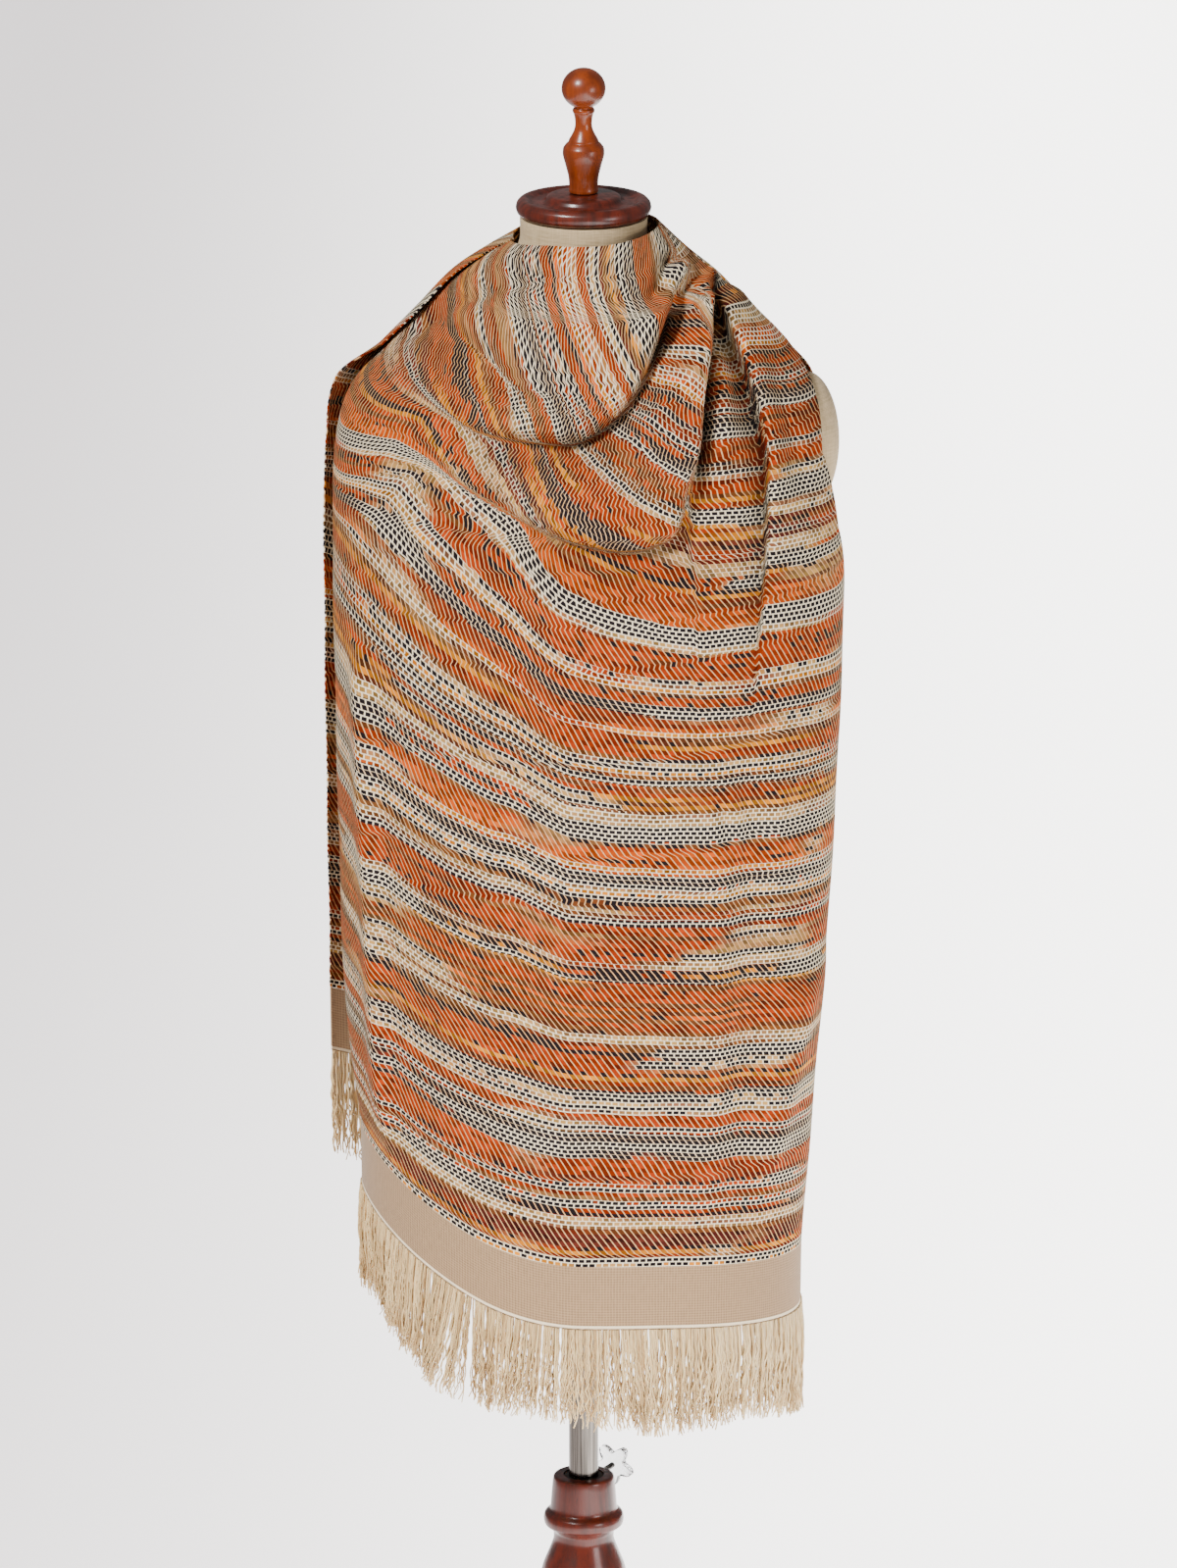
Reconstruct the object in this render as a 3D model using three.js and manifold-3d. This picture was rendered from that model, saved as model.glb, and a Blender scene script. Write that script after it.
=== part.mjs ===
// Pashmina shawl gathered on one shoulder of a limbless dress form, which stands on a turned wooden column.
// Millimetres, +Z up. The form faces -Y, and +X is on the right of someone who faces it.
import * as THREE from "three";
import { mergeVertices } from "three/addons/utils/BufferGeometryUtils.js";
import Module from "manifold-3d";

const wasm = await Module();
wasm.setup();

// Driving sizes
const seam = 0.3; // parting between pieces that are sewn or that touch
const clothWall = 2; // thickness of the cloth
const bandHeight = 57; // plain woven band at each end of the shawl
const bandInward = 0.01; // how far the band leans in for each millimetre it hangs
const stripHeight = 5; // narrow strip that the fringe is knotted into
const fringeLength = 94;
const strandRoot = 1.25; // radius of a strand at its root
const strandTip = 0.9;
const strandSway = 1.6; // how far a tip strays from under its root
const frontStrands = 80;
const backStrands = 50;
const neckRadius = 54.3;
const neckTop = 1484.7;
const shoulderShift = 6; // the form leans a little towards +X above its waist
const armholeFace = 184; // from the middle of the form to the flat under each shoulder cap
const poleRadius = 13;
const poleClearance = 0.4;
const poleBottom = 160;
const poleTop = 740;
const columnTop = 350;
const columnBore = 17.75;
const boreBottom = 60;
const baseRadius = 165;
const baseHeight = 30;
const knobAxisDeg = 62.5; // the clamp screw points back and to the right
const knobHeight = 341;
const knobReach = 46; // from the middle of the pole to the near face of the knob

const colours = {
  cloth: 0xc8743c,
  band: 0xe2d3c2,
  fringe: 0xe4d6ba,
  linen: 0xcdbeaa,
  redWood: 0x5c1c12,
  brownWood: 0xa85526,
  steel: 0xb8b8b8,
  dark: 0x1c1815,
  clear: 0xe8eef0,
};

// Turns rows of numbers into objects with a name for each column
function table(columns, rows) {
  return rows.map((row) => Object.fromEntries(columns.map((name, i) => [name, row[i]])));
}

const ringColumns = [
  "right", "zRight", "left", "zLeft", "front", "zFront", "behind", "zBehind", "fromDeg", "toDeg",
];

// Front stretch of cloth, a row for each ring from the neck edge down to the woven band. A ring passes
// through four places round the form: how far out it lies there, and how high. It runs from fromDeg to
// toDeg, where 0 is the right side, 90 the front and 180 the left side.
const frontRings = table(ringColumns, [
  [64, 1479, 60, 1461, 70, 1474, 64, 1474, 0.6, 206],
  [88, 1456, 84, 1448, 83, 1449, 76, 1450, 0.6, 206],
  [118, 1430, 114, 1427, 96, 1417, 88, 1420, 0.6, 206],
  [146, 1400, 143, 1397, 109, 1380, 98, 1385, 0.6, 206],
  [174, 1374, 171, 1368, 121, 1342, 108, 1350, 0.6, 206],
  [200, 1342, 200, 1334, 134, 1302, 118, 1312, 12, 203],
  [216, 1296, 212, 1285, 145, 1256, 126, 1265, 20, 203],
  [223, 1222, 215, 1200, 152, 1195, 131, 1200, 13, 203],
  [222, 1100, 214, 1080, 155, 1075, 134, 1080, -6, 203],
  [214, 900, 210, 895, 154, 880, 134, 890, -14, 203],
  [203, 740, 206, 780, 152, 730, 132, 790, -17, 203],
  [190, 570, 194, 680, 149, 592, 128, 740, -17, 203],
]);

// Back stretch, from the left shoulder round behind the form to the ridge of the right shoulder
const backRings = table(ringColumns, [
  [64, 1479, 60, 1467, 70, 1474, 66, 1476, 174, 359.4],
  [88, 1456, 84, 1455, 83, 1449, 80, 1452, 173, 359.4],
  [118, 1430, 114, 1435, 96, 1417, 93, 1422, 173, 359.4],
  [146, 1400, 143, 1405, 109, 1380, 104, 1387, 174, 359.4],
  [174, 1374, 172, 1374, 121, 1342, 114, 1352, 177, 359.4],
  [201, 1340, 202, 1340, 134, 1302, 124, 1314, 187, 348],
  [216, 1290, 216, 1290, 145, 1256, 132, 1267, 194, 338],
  [220, 1222, 219, 1210, 152, 1195, 137, 1202, 194, 339],
  [219, 1100, 219, 1090, 155, 1075, 140, 1085, 194, 336],
  [214, 930, 218, 960, 154, 880, 140, 930, 194, 336],
  [208, 800, 217, 890, 152, 730, 138, 815, 194, 336],
  [202, 647, 216, 795, 149, 592, 134, 680, 194, 336],
]);

const ridgeRings = 4; // down to this ring the two stretches meet along the ridge of the right shoulder
const ridgeSeam = 0.22; // half of their parting there
const selvedgeFlare = 11; // the free left edge of the back stretch stands out by this much
const flareFromRing = 5;
const flareTurnDeg = 14;

// Folds. depth is out of the cloth where positive and into it where negative. above and below are the
// half-widths on either side of the path, and fadeIn and fadeOut the shares of the path over which it starts
// and ends. path is a list of [x, z] as seen from in front (or from behind, for the back stretch).
const foldColumns = ["name", "depth", "above", "below", "fadeIn", "fadeOut", "path"];

const frontFolds = table(foldColumns, [
  ["rolled edge", 6, 11, 11, 0.1, 0.3,
    [[-8, 1466], [-54, 1456], [-83, 1443], [-117, 1424], [-142, 1398]]],
  ["crease under the roll", -8, 9, 11, 0.1, 0.2,
    [[-8, 1456], [-46, 1447], [-76, 1437], [-121, 1414], [-165, 1374]]],
  ["upper swag", -9, 15, 20, 0.2, 0.4,
    [[-152, 1387], [-121, 1397], [-108, 1396], [-86, 1382], [-53, 1360], [-22, 1354]]],
  ["roll under the upper swag", 6, 22, 22, 0.3, 0.4,
    [[-140, 1366], [-105, 1362], [-70, 1340], [-30, 1332], [10, 1345]]],
  ["middle swag", -12, 11, 16, 0.3, 0.1,
    [[-149, 1343], [-86, 1323], [-29, 1318], [0, 1321], [35, 1343], [57, 1372], [73, 1403], [83, 1447]]],
  ["roll under the middle swag", 8, 20, 24, 0.3, 0.2,
    [[-150, 1318], [-90, 1296], [-30, 1286], [20, 1292], [55, 1325], [80, 1370], [92, 1415]]],
  ["lower swag", -11, 18, 26, 0.3, 0.1,
    [[-149, 1302], [-91, 1272], [-38, 1244], [0, 1231], [35, 1225], [63, 1229], [88, 1246], [101, 1330]]],
  ["roll under the lower swag", 5, 22, 34, 0.4, 0.4,
    [[-120, 1250], [-50, 1206], [20, 1190], [75, 1200], [115, 1240]]],
  ["first gather crease", -8, 8, 9, 0.1, 0.4, [[77, 1461], [66, 1440], [56, 1415]]],
  ["first gather ridge", 8, 9, 9, 0.1, 0.4, [[84, 1455], [75, 1437], [58, 1414], [43, 1388]]],
  ["second gather crease", -8, 8, 10, 0.1, 0.4, [[87, 1440], [74, 1403], [52, 1372]]],
  ["second gather ridge", 11, 11, 12, 0.1, 0.4,
    [[93, 1440], [96, 1415], [87, 1384], [67, 1349], [40, 1326]]],
  ["dark slit", -14, 8, 9, 0.1, 0.3, [[107, 1432], [105, 1404], [102, 1362], [101, 1310], [100, 1280]]],
  ["pleat under the slit", 6, 10, 12, 0.3, 0.4, [[112, 1400], [116, 1350], [118, 1300], [112, 1240]]],
  ["groove beside the strip", -9, 8, 12, 0.1, 0.4,
    [[106, 1433], [118, 1398], [130, 1372], [139, 1345], [146, 1320], [149, 1290], [147, 1200], [138, 1110]]],
  ["edge of the strip", 8, 24, 8, 0.1, 0.4,
    [[114, 1428], [130, 1395], [143, 1370], [152, 1342], [160, 1310], [163, 1280], [161, 1200], [154, 1110]]],
  ["trough in the strip", -5, 10, 10, 0.3, 0.4, [[154, 1384], [172, 1345], [183, 1290], [186, 1240]]],
  ["left hanging fold", 4, 12, 12, 0.2, 0.3,
    [[-189, 1150], [-183, 1053], [-177, 900], [-170, 740], [-164, 655]]],
  ["turned corner", 6, 14, 18, 0.3, 0.2, [[200, 850], [189, 810], [180, 766], [165, 700], [153, 640]]],
  ["soft fold at the right", -4, 18, 18, 0.3, 0.2, [[140, 1100], [143, 930], [140, 754], [132, 610]]],
  ["soft ridge at the right", 4, 20, 20, 0.3, 0.2, [[112, 1080], [113, 900], [108, 740], [98, 600]]],
  ["soft fold in the middle", -3, 30, 30, 0.3, 0.2, [[-20, 1100], [-5, 900], [4, 740], [10, 600]]],
]);

const backFolds = table(foldColumns, [
  ["upper back swag", -9, 14, 18, 0.2, 0.4,
    [[82, 1440], [50, 1412], [5, 1392], [-45, 1390], [-100, 1400]]],
  ["roll under it", 7, 16, 20, 0.2, 0.4,
    [[90, 1425], [60, 1385], [10, 1362], [-50, 1358], [-110, 1372]]],
  ["middle back swag", -10, 16, 22, 0.2, 0.4,
    [[100, 1425], [80, 1370], [40, 1325], [-20, 1305], [-90, 1318], [-150, 1345]]],
  ["roll under the middle", 7, 20, 26, 0.2, 0.4,
    [[112, 1410], [95, 1340], [50, 1282], [-15, 1262], [-90, 1275]]],
  ["lower back swag", -8, 20, 28, 0.2, 0.4,
    [[122, 1400], [112, 1320], [70, 1240], [0, 1210], [-80, 1222], [-150, 1270]]],
  ["right back pleat", 8, 14, 12, 0.1, 0.3,
    [[130, 1405], [140, 1340], [146, 1240], [148, 1100], [140, 900]]],
  ["groove beside it", -8, 12, 12, 0.1, 0.3,
    [[112, 1420], [118, 1340], [120, 1240], [118, 1100], [112, 950]]],
  ["left back fold", 5, 22, 20, 0.3, 0.2, [[-120, 1250], [-130, 1100], [-132, 940], [-130, 800]]],
  ["left back trough", -5, 20, 24, 0.3, 0.2, [[-70, 1180], [-82, 1040], [-86, 900], [-84, 760]]],
  ["middle back fold", 5, 24, 24, 0.3, 0.2, [[-5, 1160], [-12, 1000], [-16, 860], [-18, 720]]],
  ["middle back trough", -4, 22, 22, 0.3, 0.2, [[52, 1150], [50, 1000], [48, 840], [46, 690]]],
]);

// The dress form, a row for each level
const formRings = table(["z", "side", "front", "behind", "shift"], [
  [760, 152, 98, 100, 0],
  [800, 160, 104, 108, 0],
  [870, 163, 108, 116, 0],
  [960, 146, 98, 104, 0],
  [1050, 122, 88, 86, 0],
  [1140, 136, 104, 90, 2],
  [1220, 166, 122, 97, 3],
  [1262, 186, 119, 98, 5],
  [1300, 190, 110, 95, 5],
  [1333, 184, 101, 91, 5],
  [1356, 166, 92, 83, 5],
  [1378, 148, 80, 76, 4],
  [1400, 122, 69, 69, 3],
  [1420, 96, 62, 63, 1],
  [1440, 70, 59, 59, 0],
  [1462, 55.4, 55.4, 55.4, 0],
  [neckTop, neckRadius, neckRadius, neckRadius, 0],
]);

const radians = (degrees) => (degrees * Math.PI) / 180;
const mix = (a, b, f) => a + (b - a) * f;
const smooth = (f) => {
  const c = Math.min(1, Math.max(0, f));
  return c * c * (3 - 2 * c);
};

// Repeatable random numbers from 0 to 1
function dice(seed) {
  let state = seed;
  return () => {
    state = (state * 16807) % 2147483647;
    return state / 2147483647;
  };
}

// A column of a table of rings, on a smooth curve through its rows; place runs from 0 at the first row
function columnAt(rows, name, place) {
  const last = rows.length - 1;
  const i = Math.min(Math.floor(place), last - 1);
  const f = place - i;
  const b = rows[i][name];
  const c = rows[i + 1][name];
  const a = i > 0 ? rows[i - 1][name] : 2 * b - c;
  const d = i + 2 <= last ? rows[i + 2][name] : 2 * c - b;
  return 0.5 * (2 * b + (c - a) * f + (2 * a - 5 * b + 4 * c - d) * f * f + (3 * b - a - 3 * c + d) * f ** 3);
}

// A point of the smooth cloth before its folds, at an angle round the form
function ringPoint(rows, place, angle) {
  const across = Math.cos(angle);
  const toFront = Math.sin(angle);
  const at = (name) => columnAt(rows, name, place);
  const side = across > 0 ? at("right") : at("left");
  const zSide = across > 0 ? at("zRight") : at("zLeft");
  const depth = toFront > 0 ? at("front") : at("behind");
  const zDepth = toFront > 0 ? at("zFront") : at("zBehind");
  return new THREE.Vector3(side * across, -depth * toFront, zSide * across ** 2 + zDepth * toFront ** 2);
}

// Near the neck the columns of the grid crowd towards the gathered shoulder, where the folds are small
function crowdedShare(place, share, gatheredEnd) {
  const crowd = 0.45 * (1 - smooth((place - 6) / 3));
  const fromGather = gatheredEnd === 0 ? share : 1 - share;
  const moved = fromGather * (1 - crowd + crowd * fromGather);
  return gatheredEnd === 0 ? moved : 1 - moved;
}

// The angle round the form at a share of a ring, straight between the rows of the table
function ringAngle(rows, place, share) {
  const i = Math.min(Math.floor(place), rows.length - 2);
  const from = mix(rows[i].fromDeg, rows[i + 1].fromDeg, place - i);
  const to = mix(rows[i].toDeg, rows[i + 1].toDeg, place - i);
  return radians(mix(from, to, share));
}

// Each fold's path as a fine line of points, worked out once
function foldLines(folds) {
  return folds.map((fold) => {
    const corners = fold.path.map(([x, z]) => new THREE.Vector3(x, z, 0));
    const points = new THREE.CatmullRomCurve3(corners, false, "centripetal").getPoints(6 * corners.length);
    return { ...fold, points };
  });
}

// How far the folds push the cloth out at a place seen from in front
function foldPush(lines, x, z) {
  let push = 0;
  for (const { points, depth, above, below, fadeIn, fadeOut } of lines) {
    let best = { gap: Infinity, share: 0, side: 1 };
    for (let i = 0; i + 1 < points.length; i++) {
      const ax = points[i].x;
      const az = points[i].y;
      const dx = points[i + 1].x - ax;
      const dz = points[i + 1].y - az;
      const f = Math.min(1, Math.max(0, ((x - ax) * dx + (z - az) * dz) / (dx * dx + dz * dz)));
      const gap = Math.hypot(x - ax - f * dx, z - az - f * dz);
      if (gap < best.gap) {
        best = { gap, share: (i + f) / (points.length - 1), side: dx * (z - az) - dz * (x - ax) };
      }
    }
    const width = best.side > 0 ? above : below;
    const ends = smooth(best.share / fadeIn) * smooth((1 - best.share) / fadeOut);
    push += depth * ends * Math.exp(-((best.gap / width) ** 2));
  }
  return push;
}

// The middle surface of one stretch of cloth, as rows of points from the neck edge down
function drapeGrid(rows, folds, facing, places, columns, gatheredEnd) {
  const lines = foldLines(folds);
  return places.map((place) => {
    const row = [];
    for (let c = 0; c <= columns; c++) {
      const angle = ringAngle(rows, place, crowdedShare(place, c / columns, gatheredEnd));
      const point = ringPoint(rows, place, angle);
      const step = 0.01;
      const down = ringPoint(rows, Math.min(place + step, rows.length - 1), angle).sub(
        ringPoint(rows, Math.max(place - step, 0), angle),
      );
      const along = ringPoint(rows, place, angle + step).sub(ringPoint(rows, place, angle - step));
      const out = new THREE.Vector3().crossVectors(along, down).normalize();
      const seen = smooth(facing(angle));
      point.addScaledVector(out, seen * foldPush(lines, point.x, point.z));
      if (place <= ridgeRings && c === (gatheredEnd === 0 ? 0 : columns)) {
        point.y = gatheredEnd === 0 ? -ridgeSeam : ridgeSeam;
      }
      row.push(point);
    }
    return row;
  });
}

// The free left edge of the back stretch swings out from the form
function flareEdge(grid, rows, places) {
  grid.forEach((row, r) => {
    const start = smooth(places[r] - flareFromRing + 1);
    row.forEach((point, c) => {
      const share = c / (row.length - 1);
      const turned = share * (rows[rows.length - 1].toDeg - rows[rows.length - 1].fromDeg);
      point.x -= selvedgeFlare * start * (1 - smooth(turned / flareTurnDeg));
    });
  });
}

// A closed wall of even thickness round a grid of points
function wallGeometry(grid, thickness) {
  const rows = grid.length;
  const columns = grid[0].length;
  const positions = [];
  const index = [];
  for (const side of [0.5, -0.5]) {
    for (let r = 0; r < rows; r++) {
      for (let c = 0; c < columns; c++) {
        const down = grid[Math.min(r + 1, rows - 1)][c].clone().sub(grid[Math.max(r - 1, 0)][c]);
        const along = grid[r][Math.min(c + 1, columns - 1)].clone().sub(grid[r][Math.max(c - 1, 0)]);
        const out = along.cross(down).normalize();
        const p = grid[r][c].clone().addScaledVector(out, side * thickness);
        positions.push(p.x, p.y, p.z);
      }
    }
  }
  const outer = (r, c) => r * columns + c;
  const inner = (r, c) => rows * columns + r * columns + c;
  const quad = (a, b, c, d) => index.push(a, b, c, a, c, d);
  for (let r = 0; r + 1 < rows; r++) {
    for (let c = 0; c + 1 < columns; c++) {
      quad(outer(r, c), outer(r, c + 1), outer(r + 1, c + 1), outer(r + 1, c));
      quad(inner(r, c), inner(r + 1, c), inner(r + 1, c + 1), inner(r, c + 1));
    }
    quad(outer(r, 0), outer(r + 1, 0), inner(r + 1, 0), inner(r, 0));
    quad(outer(r, columns - 1), inner(r, columns - 1), inner(r + 1, columns - 1), outer(r + 1, columns - 1));
  }
  for (let c = 0; c + 1 < columns; c++) {
    quad(outer(0, c), inner(0, c), inner(0, c + 1), outer(0, c + 1));
    quad(outer(rows - 1, c), outer(rows - 1, c + 1), inner(rows - 1, c + 1), inner(rows - 1, c));
  }
  const geometry = new THREE.BufferGeometry();
  geometry.setAttribute("position", new THREE.Float32BufferAttribute(positions, 3));
  geometry.setIndex(index);
  return geometry;
}

// Rows of points that hang straight on below an edge, between two drops, leaning in towards the form
function hangingGrid(edge, fromDrop, toDrop, steps) {
  const rows = [];
  for (let r = 0; r <= steps; r++) {
    const drop = mix(fromDrop, toDrop, r / steps);
    rows.push(
      edge.map((p) => {
        const reach = Math.hypot(p.x, p.y);
        const pulled = 1 - (bandInward * drop) / reach;
        return new THREE.Vector3(p.x * pulled, p.y * pulled, p.z - drop);
      }),
    );
  }
  return rows;
}

function toSolid(geometry) {
  const bare = geometry.index ? geometry.toNonIndexed() : geometry.clone();
  bare.deleteAttribute("normal");
  bare.deleteAttribute("uv");
  const merged = mergeVertices(bare, 1e-4);
  return new wasm.Manifold(
    new wasm.Mesh({
      numProp: 3,
      vertProperties: merged.attributes.position.array,
      triVerts: new Uint32Array(merged.index.array),
    }),
  );
}

function fromSolid(solid) {
  const made = solid.getMesh();
  const geometry = new THREE.BufferGeometry();
  geometry.setAttribute("position", new THREE.BufferAttribute(made.vertProperties.slice(), 3));
  geometry.setIndex(Array.from(made.triVerts));
  return geometry;
}

// One three-sided strand through a few points, thinner towards its tip
function strandGeometry(points, turn) {
  const sides = 3;
  const positions = [];
  const index = [];
  points.forEach((p, level) => {
    const radius = mix(strandRoot, strandTip, level / (points.length - 1));
    for (let k = 0; k < sides; k++) {
      const angle = turn + (2 * Math.PI * k) / sides;
      positions.push(p.x + radius * Math.cos(angle), p.y + radius * Math.sin(angle), p.z);
    }
  });
  for (let level = 0; level + 1 < points.length; level++) {
    for (let k = 0; k < sides; k++) {
      const a = level * sides + k;
      const b = level * sides + ((k + 1) % sides);
      index.push(a, a + sides, b, b, a + sides, b + sides);
    }
  }
  const end = (points.length - 1) * sides;
  index.push(0, 1, 2, end, end + 2, end + 1);
  const geometry = new THREE.BufferGeometry();
  geometry.setAttribute("position", new THREE.Float32BufferAttribute(positions, 3));
  geometry.setIndex(index);
  return geometry;
}

// A narrow strip below the band with its strands hanging from it, all one piece
function fringeGeometry(edge, count, seed) {
  const stripTop = bandHeight + 2 * seam;
  const strip = hangingGrid(edge, stripTop, stripTop + stripHeight, 1);
  const roll = dice(seed);
  let solid = toSolid(wallGeometry(strip, clothWall + 0.6));
  const rootRow = hangingGrid(edge, stripTop + 2, stripTop + 3, 1)[0];
  for (let k = 0; k < count; k++) {
    const place = ((k + 0.5) / count) * (rootRow.length - 1);
    const i = Math.floor(place);
    const root = rootRow[i].clone().lerp(rootRow[i + 1], place - i);
    const sway = () => (roll() - 0.5) * 2 * strandSway;
    const length = fringeLength * (0.92 + 0.14 * roll());
    const tip = new THREE.Vector3(root.x + sway(), root.y + sway(), root.z - length);
    solid = solid.add(toSolid(strandGeometry([root, tip], roll() * 6)));
  }
  return fromSolid(solid);
}

function piece(name, geometry, color, roughness, metalness = 0) {
  geometry.computeVertexNormals();
  const mesh = new THREE.Mesh(geometry, new THREE.MeshStandardMaterial({ color, roughness, metalness }));
  mesh.name = name;
  return mesh;
}

// A profile of [radius, z] pairs turned round the Z axis
function turned(profile, segments = 32) {
  const geometry = new THREE.LatheGeometry(
    profile.map(([r, z]) => new THREE.Vector2(r, z)),
    segments,
  );
  geometry.rotateX(Math.PI / 2);
  return fromSolid(toSolid(geometry));
}

// The places of the grid's rows: even steps from ring to ring
function ringPlaces(rings, stepsEach) {
  const places = [];
  stepsEach.forEach((steps, ring) => {
    for (let k = 0; k < steps; k++) {
      places.push(ring + k / steps);
    }
  });
  places.push(rings.length - 1);
  return places;
}

function shawl() {
  const group = new THREE.Group();
  const frontPlaces = ringPlaces(frontRings, [2, 3, 4, 4, 4, 4, 3, 2, 2, 2, 2]);
  const backPlaces = ringPlaces(backRings, [1, 2, 3, 3, 3, 3, 2, 1, 1, 1, 1]);
  const inFront = (angle) => (Math.PI - 0.02 - angle) / 0.2;
  const behind = (angle) => (angle - Math.PI - 0.2) / 0.3;
  const front = drapeGrid(frontRings, frontFolds, inFront, frontPlaces, 32, 0);
  const back = drapeGrid(backRings, backFolds, behind, backPlaces, 20, 1);
  flareEdge(back, backRings, backPlaces);
  const frontEdge = front[front.length - 1];
  const backEdge = back[back.length - 1];
  const band = (edge) => hangingGrid(edge, seam, seam + bandHeight, 1);
  group.add(piece("front_drape", wallGeometry(front, clothWall), colours.cloth, 0.9));
  group.add(piece("back_drape", wallGeometry(back, clothWall), colours.cloth, 0.9));
  group.add(piece("front_end_band", wallGeometry(band(frontEdge), clothWall), colours.band, 0.9));
  group.add(piece("back_end_band", wallGeometry(band(backEdge), clothWall), colours.band, 0.9));
  group.add(piece("front_fringe", fringeGeometry(frontEdge, frontStrands, 7), colours.fringe, 0.95));
  group.add(piece("back_fringe", fringeGeometry(backEdge, backStrands, 11), colours.fringe, 0.95));
  return group;
}

// The linen-covered body, with a flat on each side for its shoulder cap
function torsoGeometry() {
  const around = 24;
  const squareness = 2 / 2.3;
  const positions = [];
  const index = [];
  const levels = formRings.length;
  for (const { z, side, front, behind, shift } of formRings) {
    for (let k = 0; k < around; k++) {
      const angle = (2 * Math.PI * k) / around;
      const across = Math.cos(angle);
      const depth = Math.sin(angle);
      const power = side > neckRadius * 1.2 ? squareness : 1;
      positions.push(
        shift + side * Math.sign(across) * Math.abs(across) ** power,
        (depth > 0 ? behind : front) * Math.sign(depth) * Math.abs(depth) ** power,
        z,
      );
    }
  }
  for (let r = 0; r + 1 < levels; r++) {
    for (let k = 0; k < around; k++) {
      const a = r * around + k;
      const b = r * around + ((k + 1) % around);
      index.push(a, b, b + around, a, b + around, a + around);
    }
  }
  const foot = positions.length / 3;
  positions.push(0, 0, formRings[0].z, 0, 0, formRings[levels - 1].z);
  for (let k = 0; k < around; k++) {
    const next = (k + 1) % around;
    index.push(foot, next, k, foot + 1, (levels - 1) * around + k, (levels - 1) * around + next);
  }
  const geometry = new THREE.BufferGeometry();
  geometry.setAttribute("position", new THREE.Float32BufferAttribute(positions, 3));
  geometry.setIndex(index);
  const between = new THREE.BoxGeometry(2 * armholeFace, 400, 1000);
  between.translate(shoulderShift, 0, 1100);
  return fromSolid(toSolid(geometry).intersect(toSolid(between)));
}

// A padded oval cap over each armhole
function shoulderCap(sideSign) {
  const bulge = 28.6;
  const halfTall = 60;
  const halfDeep = 42;
  const middle = 1288;
  const profile = [[0, 0]];
  for (let k = 0; k < 7; k++) {
    const angle = (Math.PI / 2) * (k / 7);
    profile.push([Math.cos(angle), Math.sin(angle)]);
  }
  profile.push([0, 1]);
  const geometry = turned(profile, 20);
  geometry.scale(halfTall, halfDeep, bulge);
  geometry.rotateY((sideSign * Math.PI) / 2);
  geometry.translate(shoulderShift + sideSign * (armholeFace + seam), 0, middle);
  return geometry;
}

function neckCapGeometry() {
  const foot = neckTop + seam;
  return turned([
    [0, foot], [50, foot], [54, foot + 0.8], [57, foot + 4], [58, foot + 8], [57, foot + 12], [54, foot + 15],
    [50, foot + 15.6], [46.5, foot + 14], [44, foot + 12.2], [36, foot + 12.2], [33, foot + 14], [31.5, foot + 17],
    [29, foot + 18.6], [21, foot + 19.4], [14, foot + 20], [0, foot + 20],
  ], 28);
}

function finialGeometry() {
  const foot = neckTop + 20 + 2 * seam;
  const profile = [
    [0, foot], [12.7, foot], [12.2, foot + 5], [12.8, foot + 14], [15.4, foot + 24], [17.9, foot + 33],
    [17.6, foot + 39], [14.6, foot + 43], [13, foot + 44], [12.6, foot + 46], [10.2, foot + 50], [7.8, foot + 55],
    [7, foot + 60], [7.6, foot + 66], [8.6, foot + 69], [9.4, foot + 70.5], [9.4, foot + 72.5], [8, foot + 74],
  ];
  const ball = { middle: foot + 90.5, radius: 18.8, halfTall: 17.6 };
  for (let degrees = -62; degrees < 90; degrees += 12.6) {
    const a = radians(degrees);
    profile.push([ball.radius * Math.cos(a), ball.middle + ball.halfTall * Math.sin(a)]);
  }
  profile.push([0, ball.middle + ball.halfTall]);
  return turned(profile, 16);
}

function bottomPlateGeometry() {
  const plate = new THREE.CylinderGeometry(1, 1, 12, 40);
  plate.rotateX(Math.PI / 2);
  plate.scale(148, 95, 1);
  plate.translate(0, 0, formRings[0].z - seam - 6);
  const hole = new THREE.CylinderGeometry(poleRadius + poleClearance, poleRadius + poleClearance, 40, 24);
  hole.rotateX(Math.PI / 2);
  hole.translate(0, 0, formRings[0].z);
  return fromSolid(toSolid(plate).subtract(toSolid(hole)));
}

function socketGeometry() {
  const top = formRings[0].z - 12 - 2 * seam;
  const inside = poleRadius + poleClearance;
  return turned([
    [inside, top - 62], [19, top - 62], [20, top - 60], [20, top - 9], [22, top - 6], [36, top - 5], [37, top - 4],
    [37, top], [inside, top], [inside, top - 62],
  ], 16);
}

function poleGeometry() {
  return turned([
    [0, poleBottom], [poleRadius - 1, poleBottom], [poleRadius, poleBottom + 1], [poleRadius, poleTop - 1],
    [poleRadius - 1, poleTop], [0, poleTop],
  ], 24);
}

// A rod that starts at a distance from the pole's middle and points out along the clamp screw
function screwRod(radius, from, to) {
  const rod = new THREE.CylinderGeometry(radius, radius, to - from, 16);
  rod.rotateX(Math.PI / 2);
  return placeOnScrew(rod, (from + to) / 2);
}

function placeOnScrew(geometry, reach) {
  geometry.rotateY(Math.PI / 2);
  geometry.translate(reach, 0, 0);
  geometry.rotateZ(radians(knobAxisDeg));
  geometry.translate(0, 0, knobHeight);
  return geometry;
}

const screwRadius = 2.6;

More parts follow.
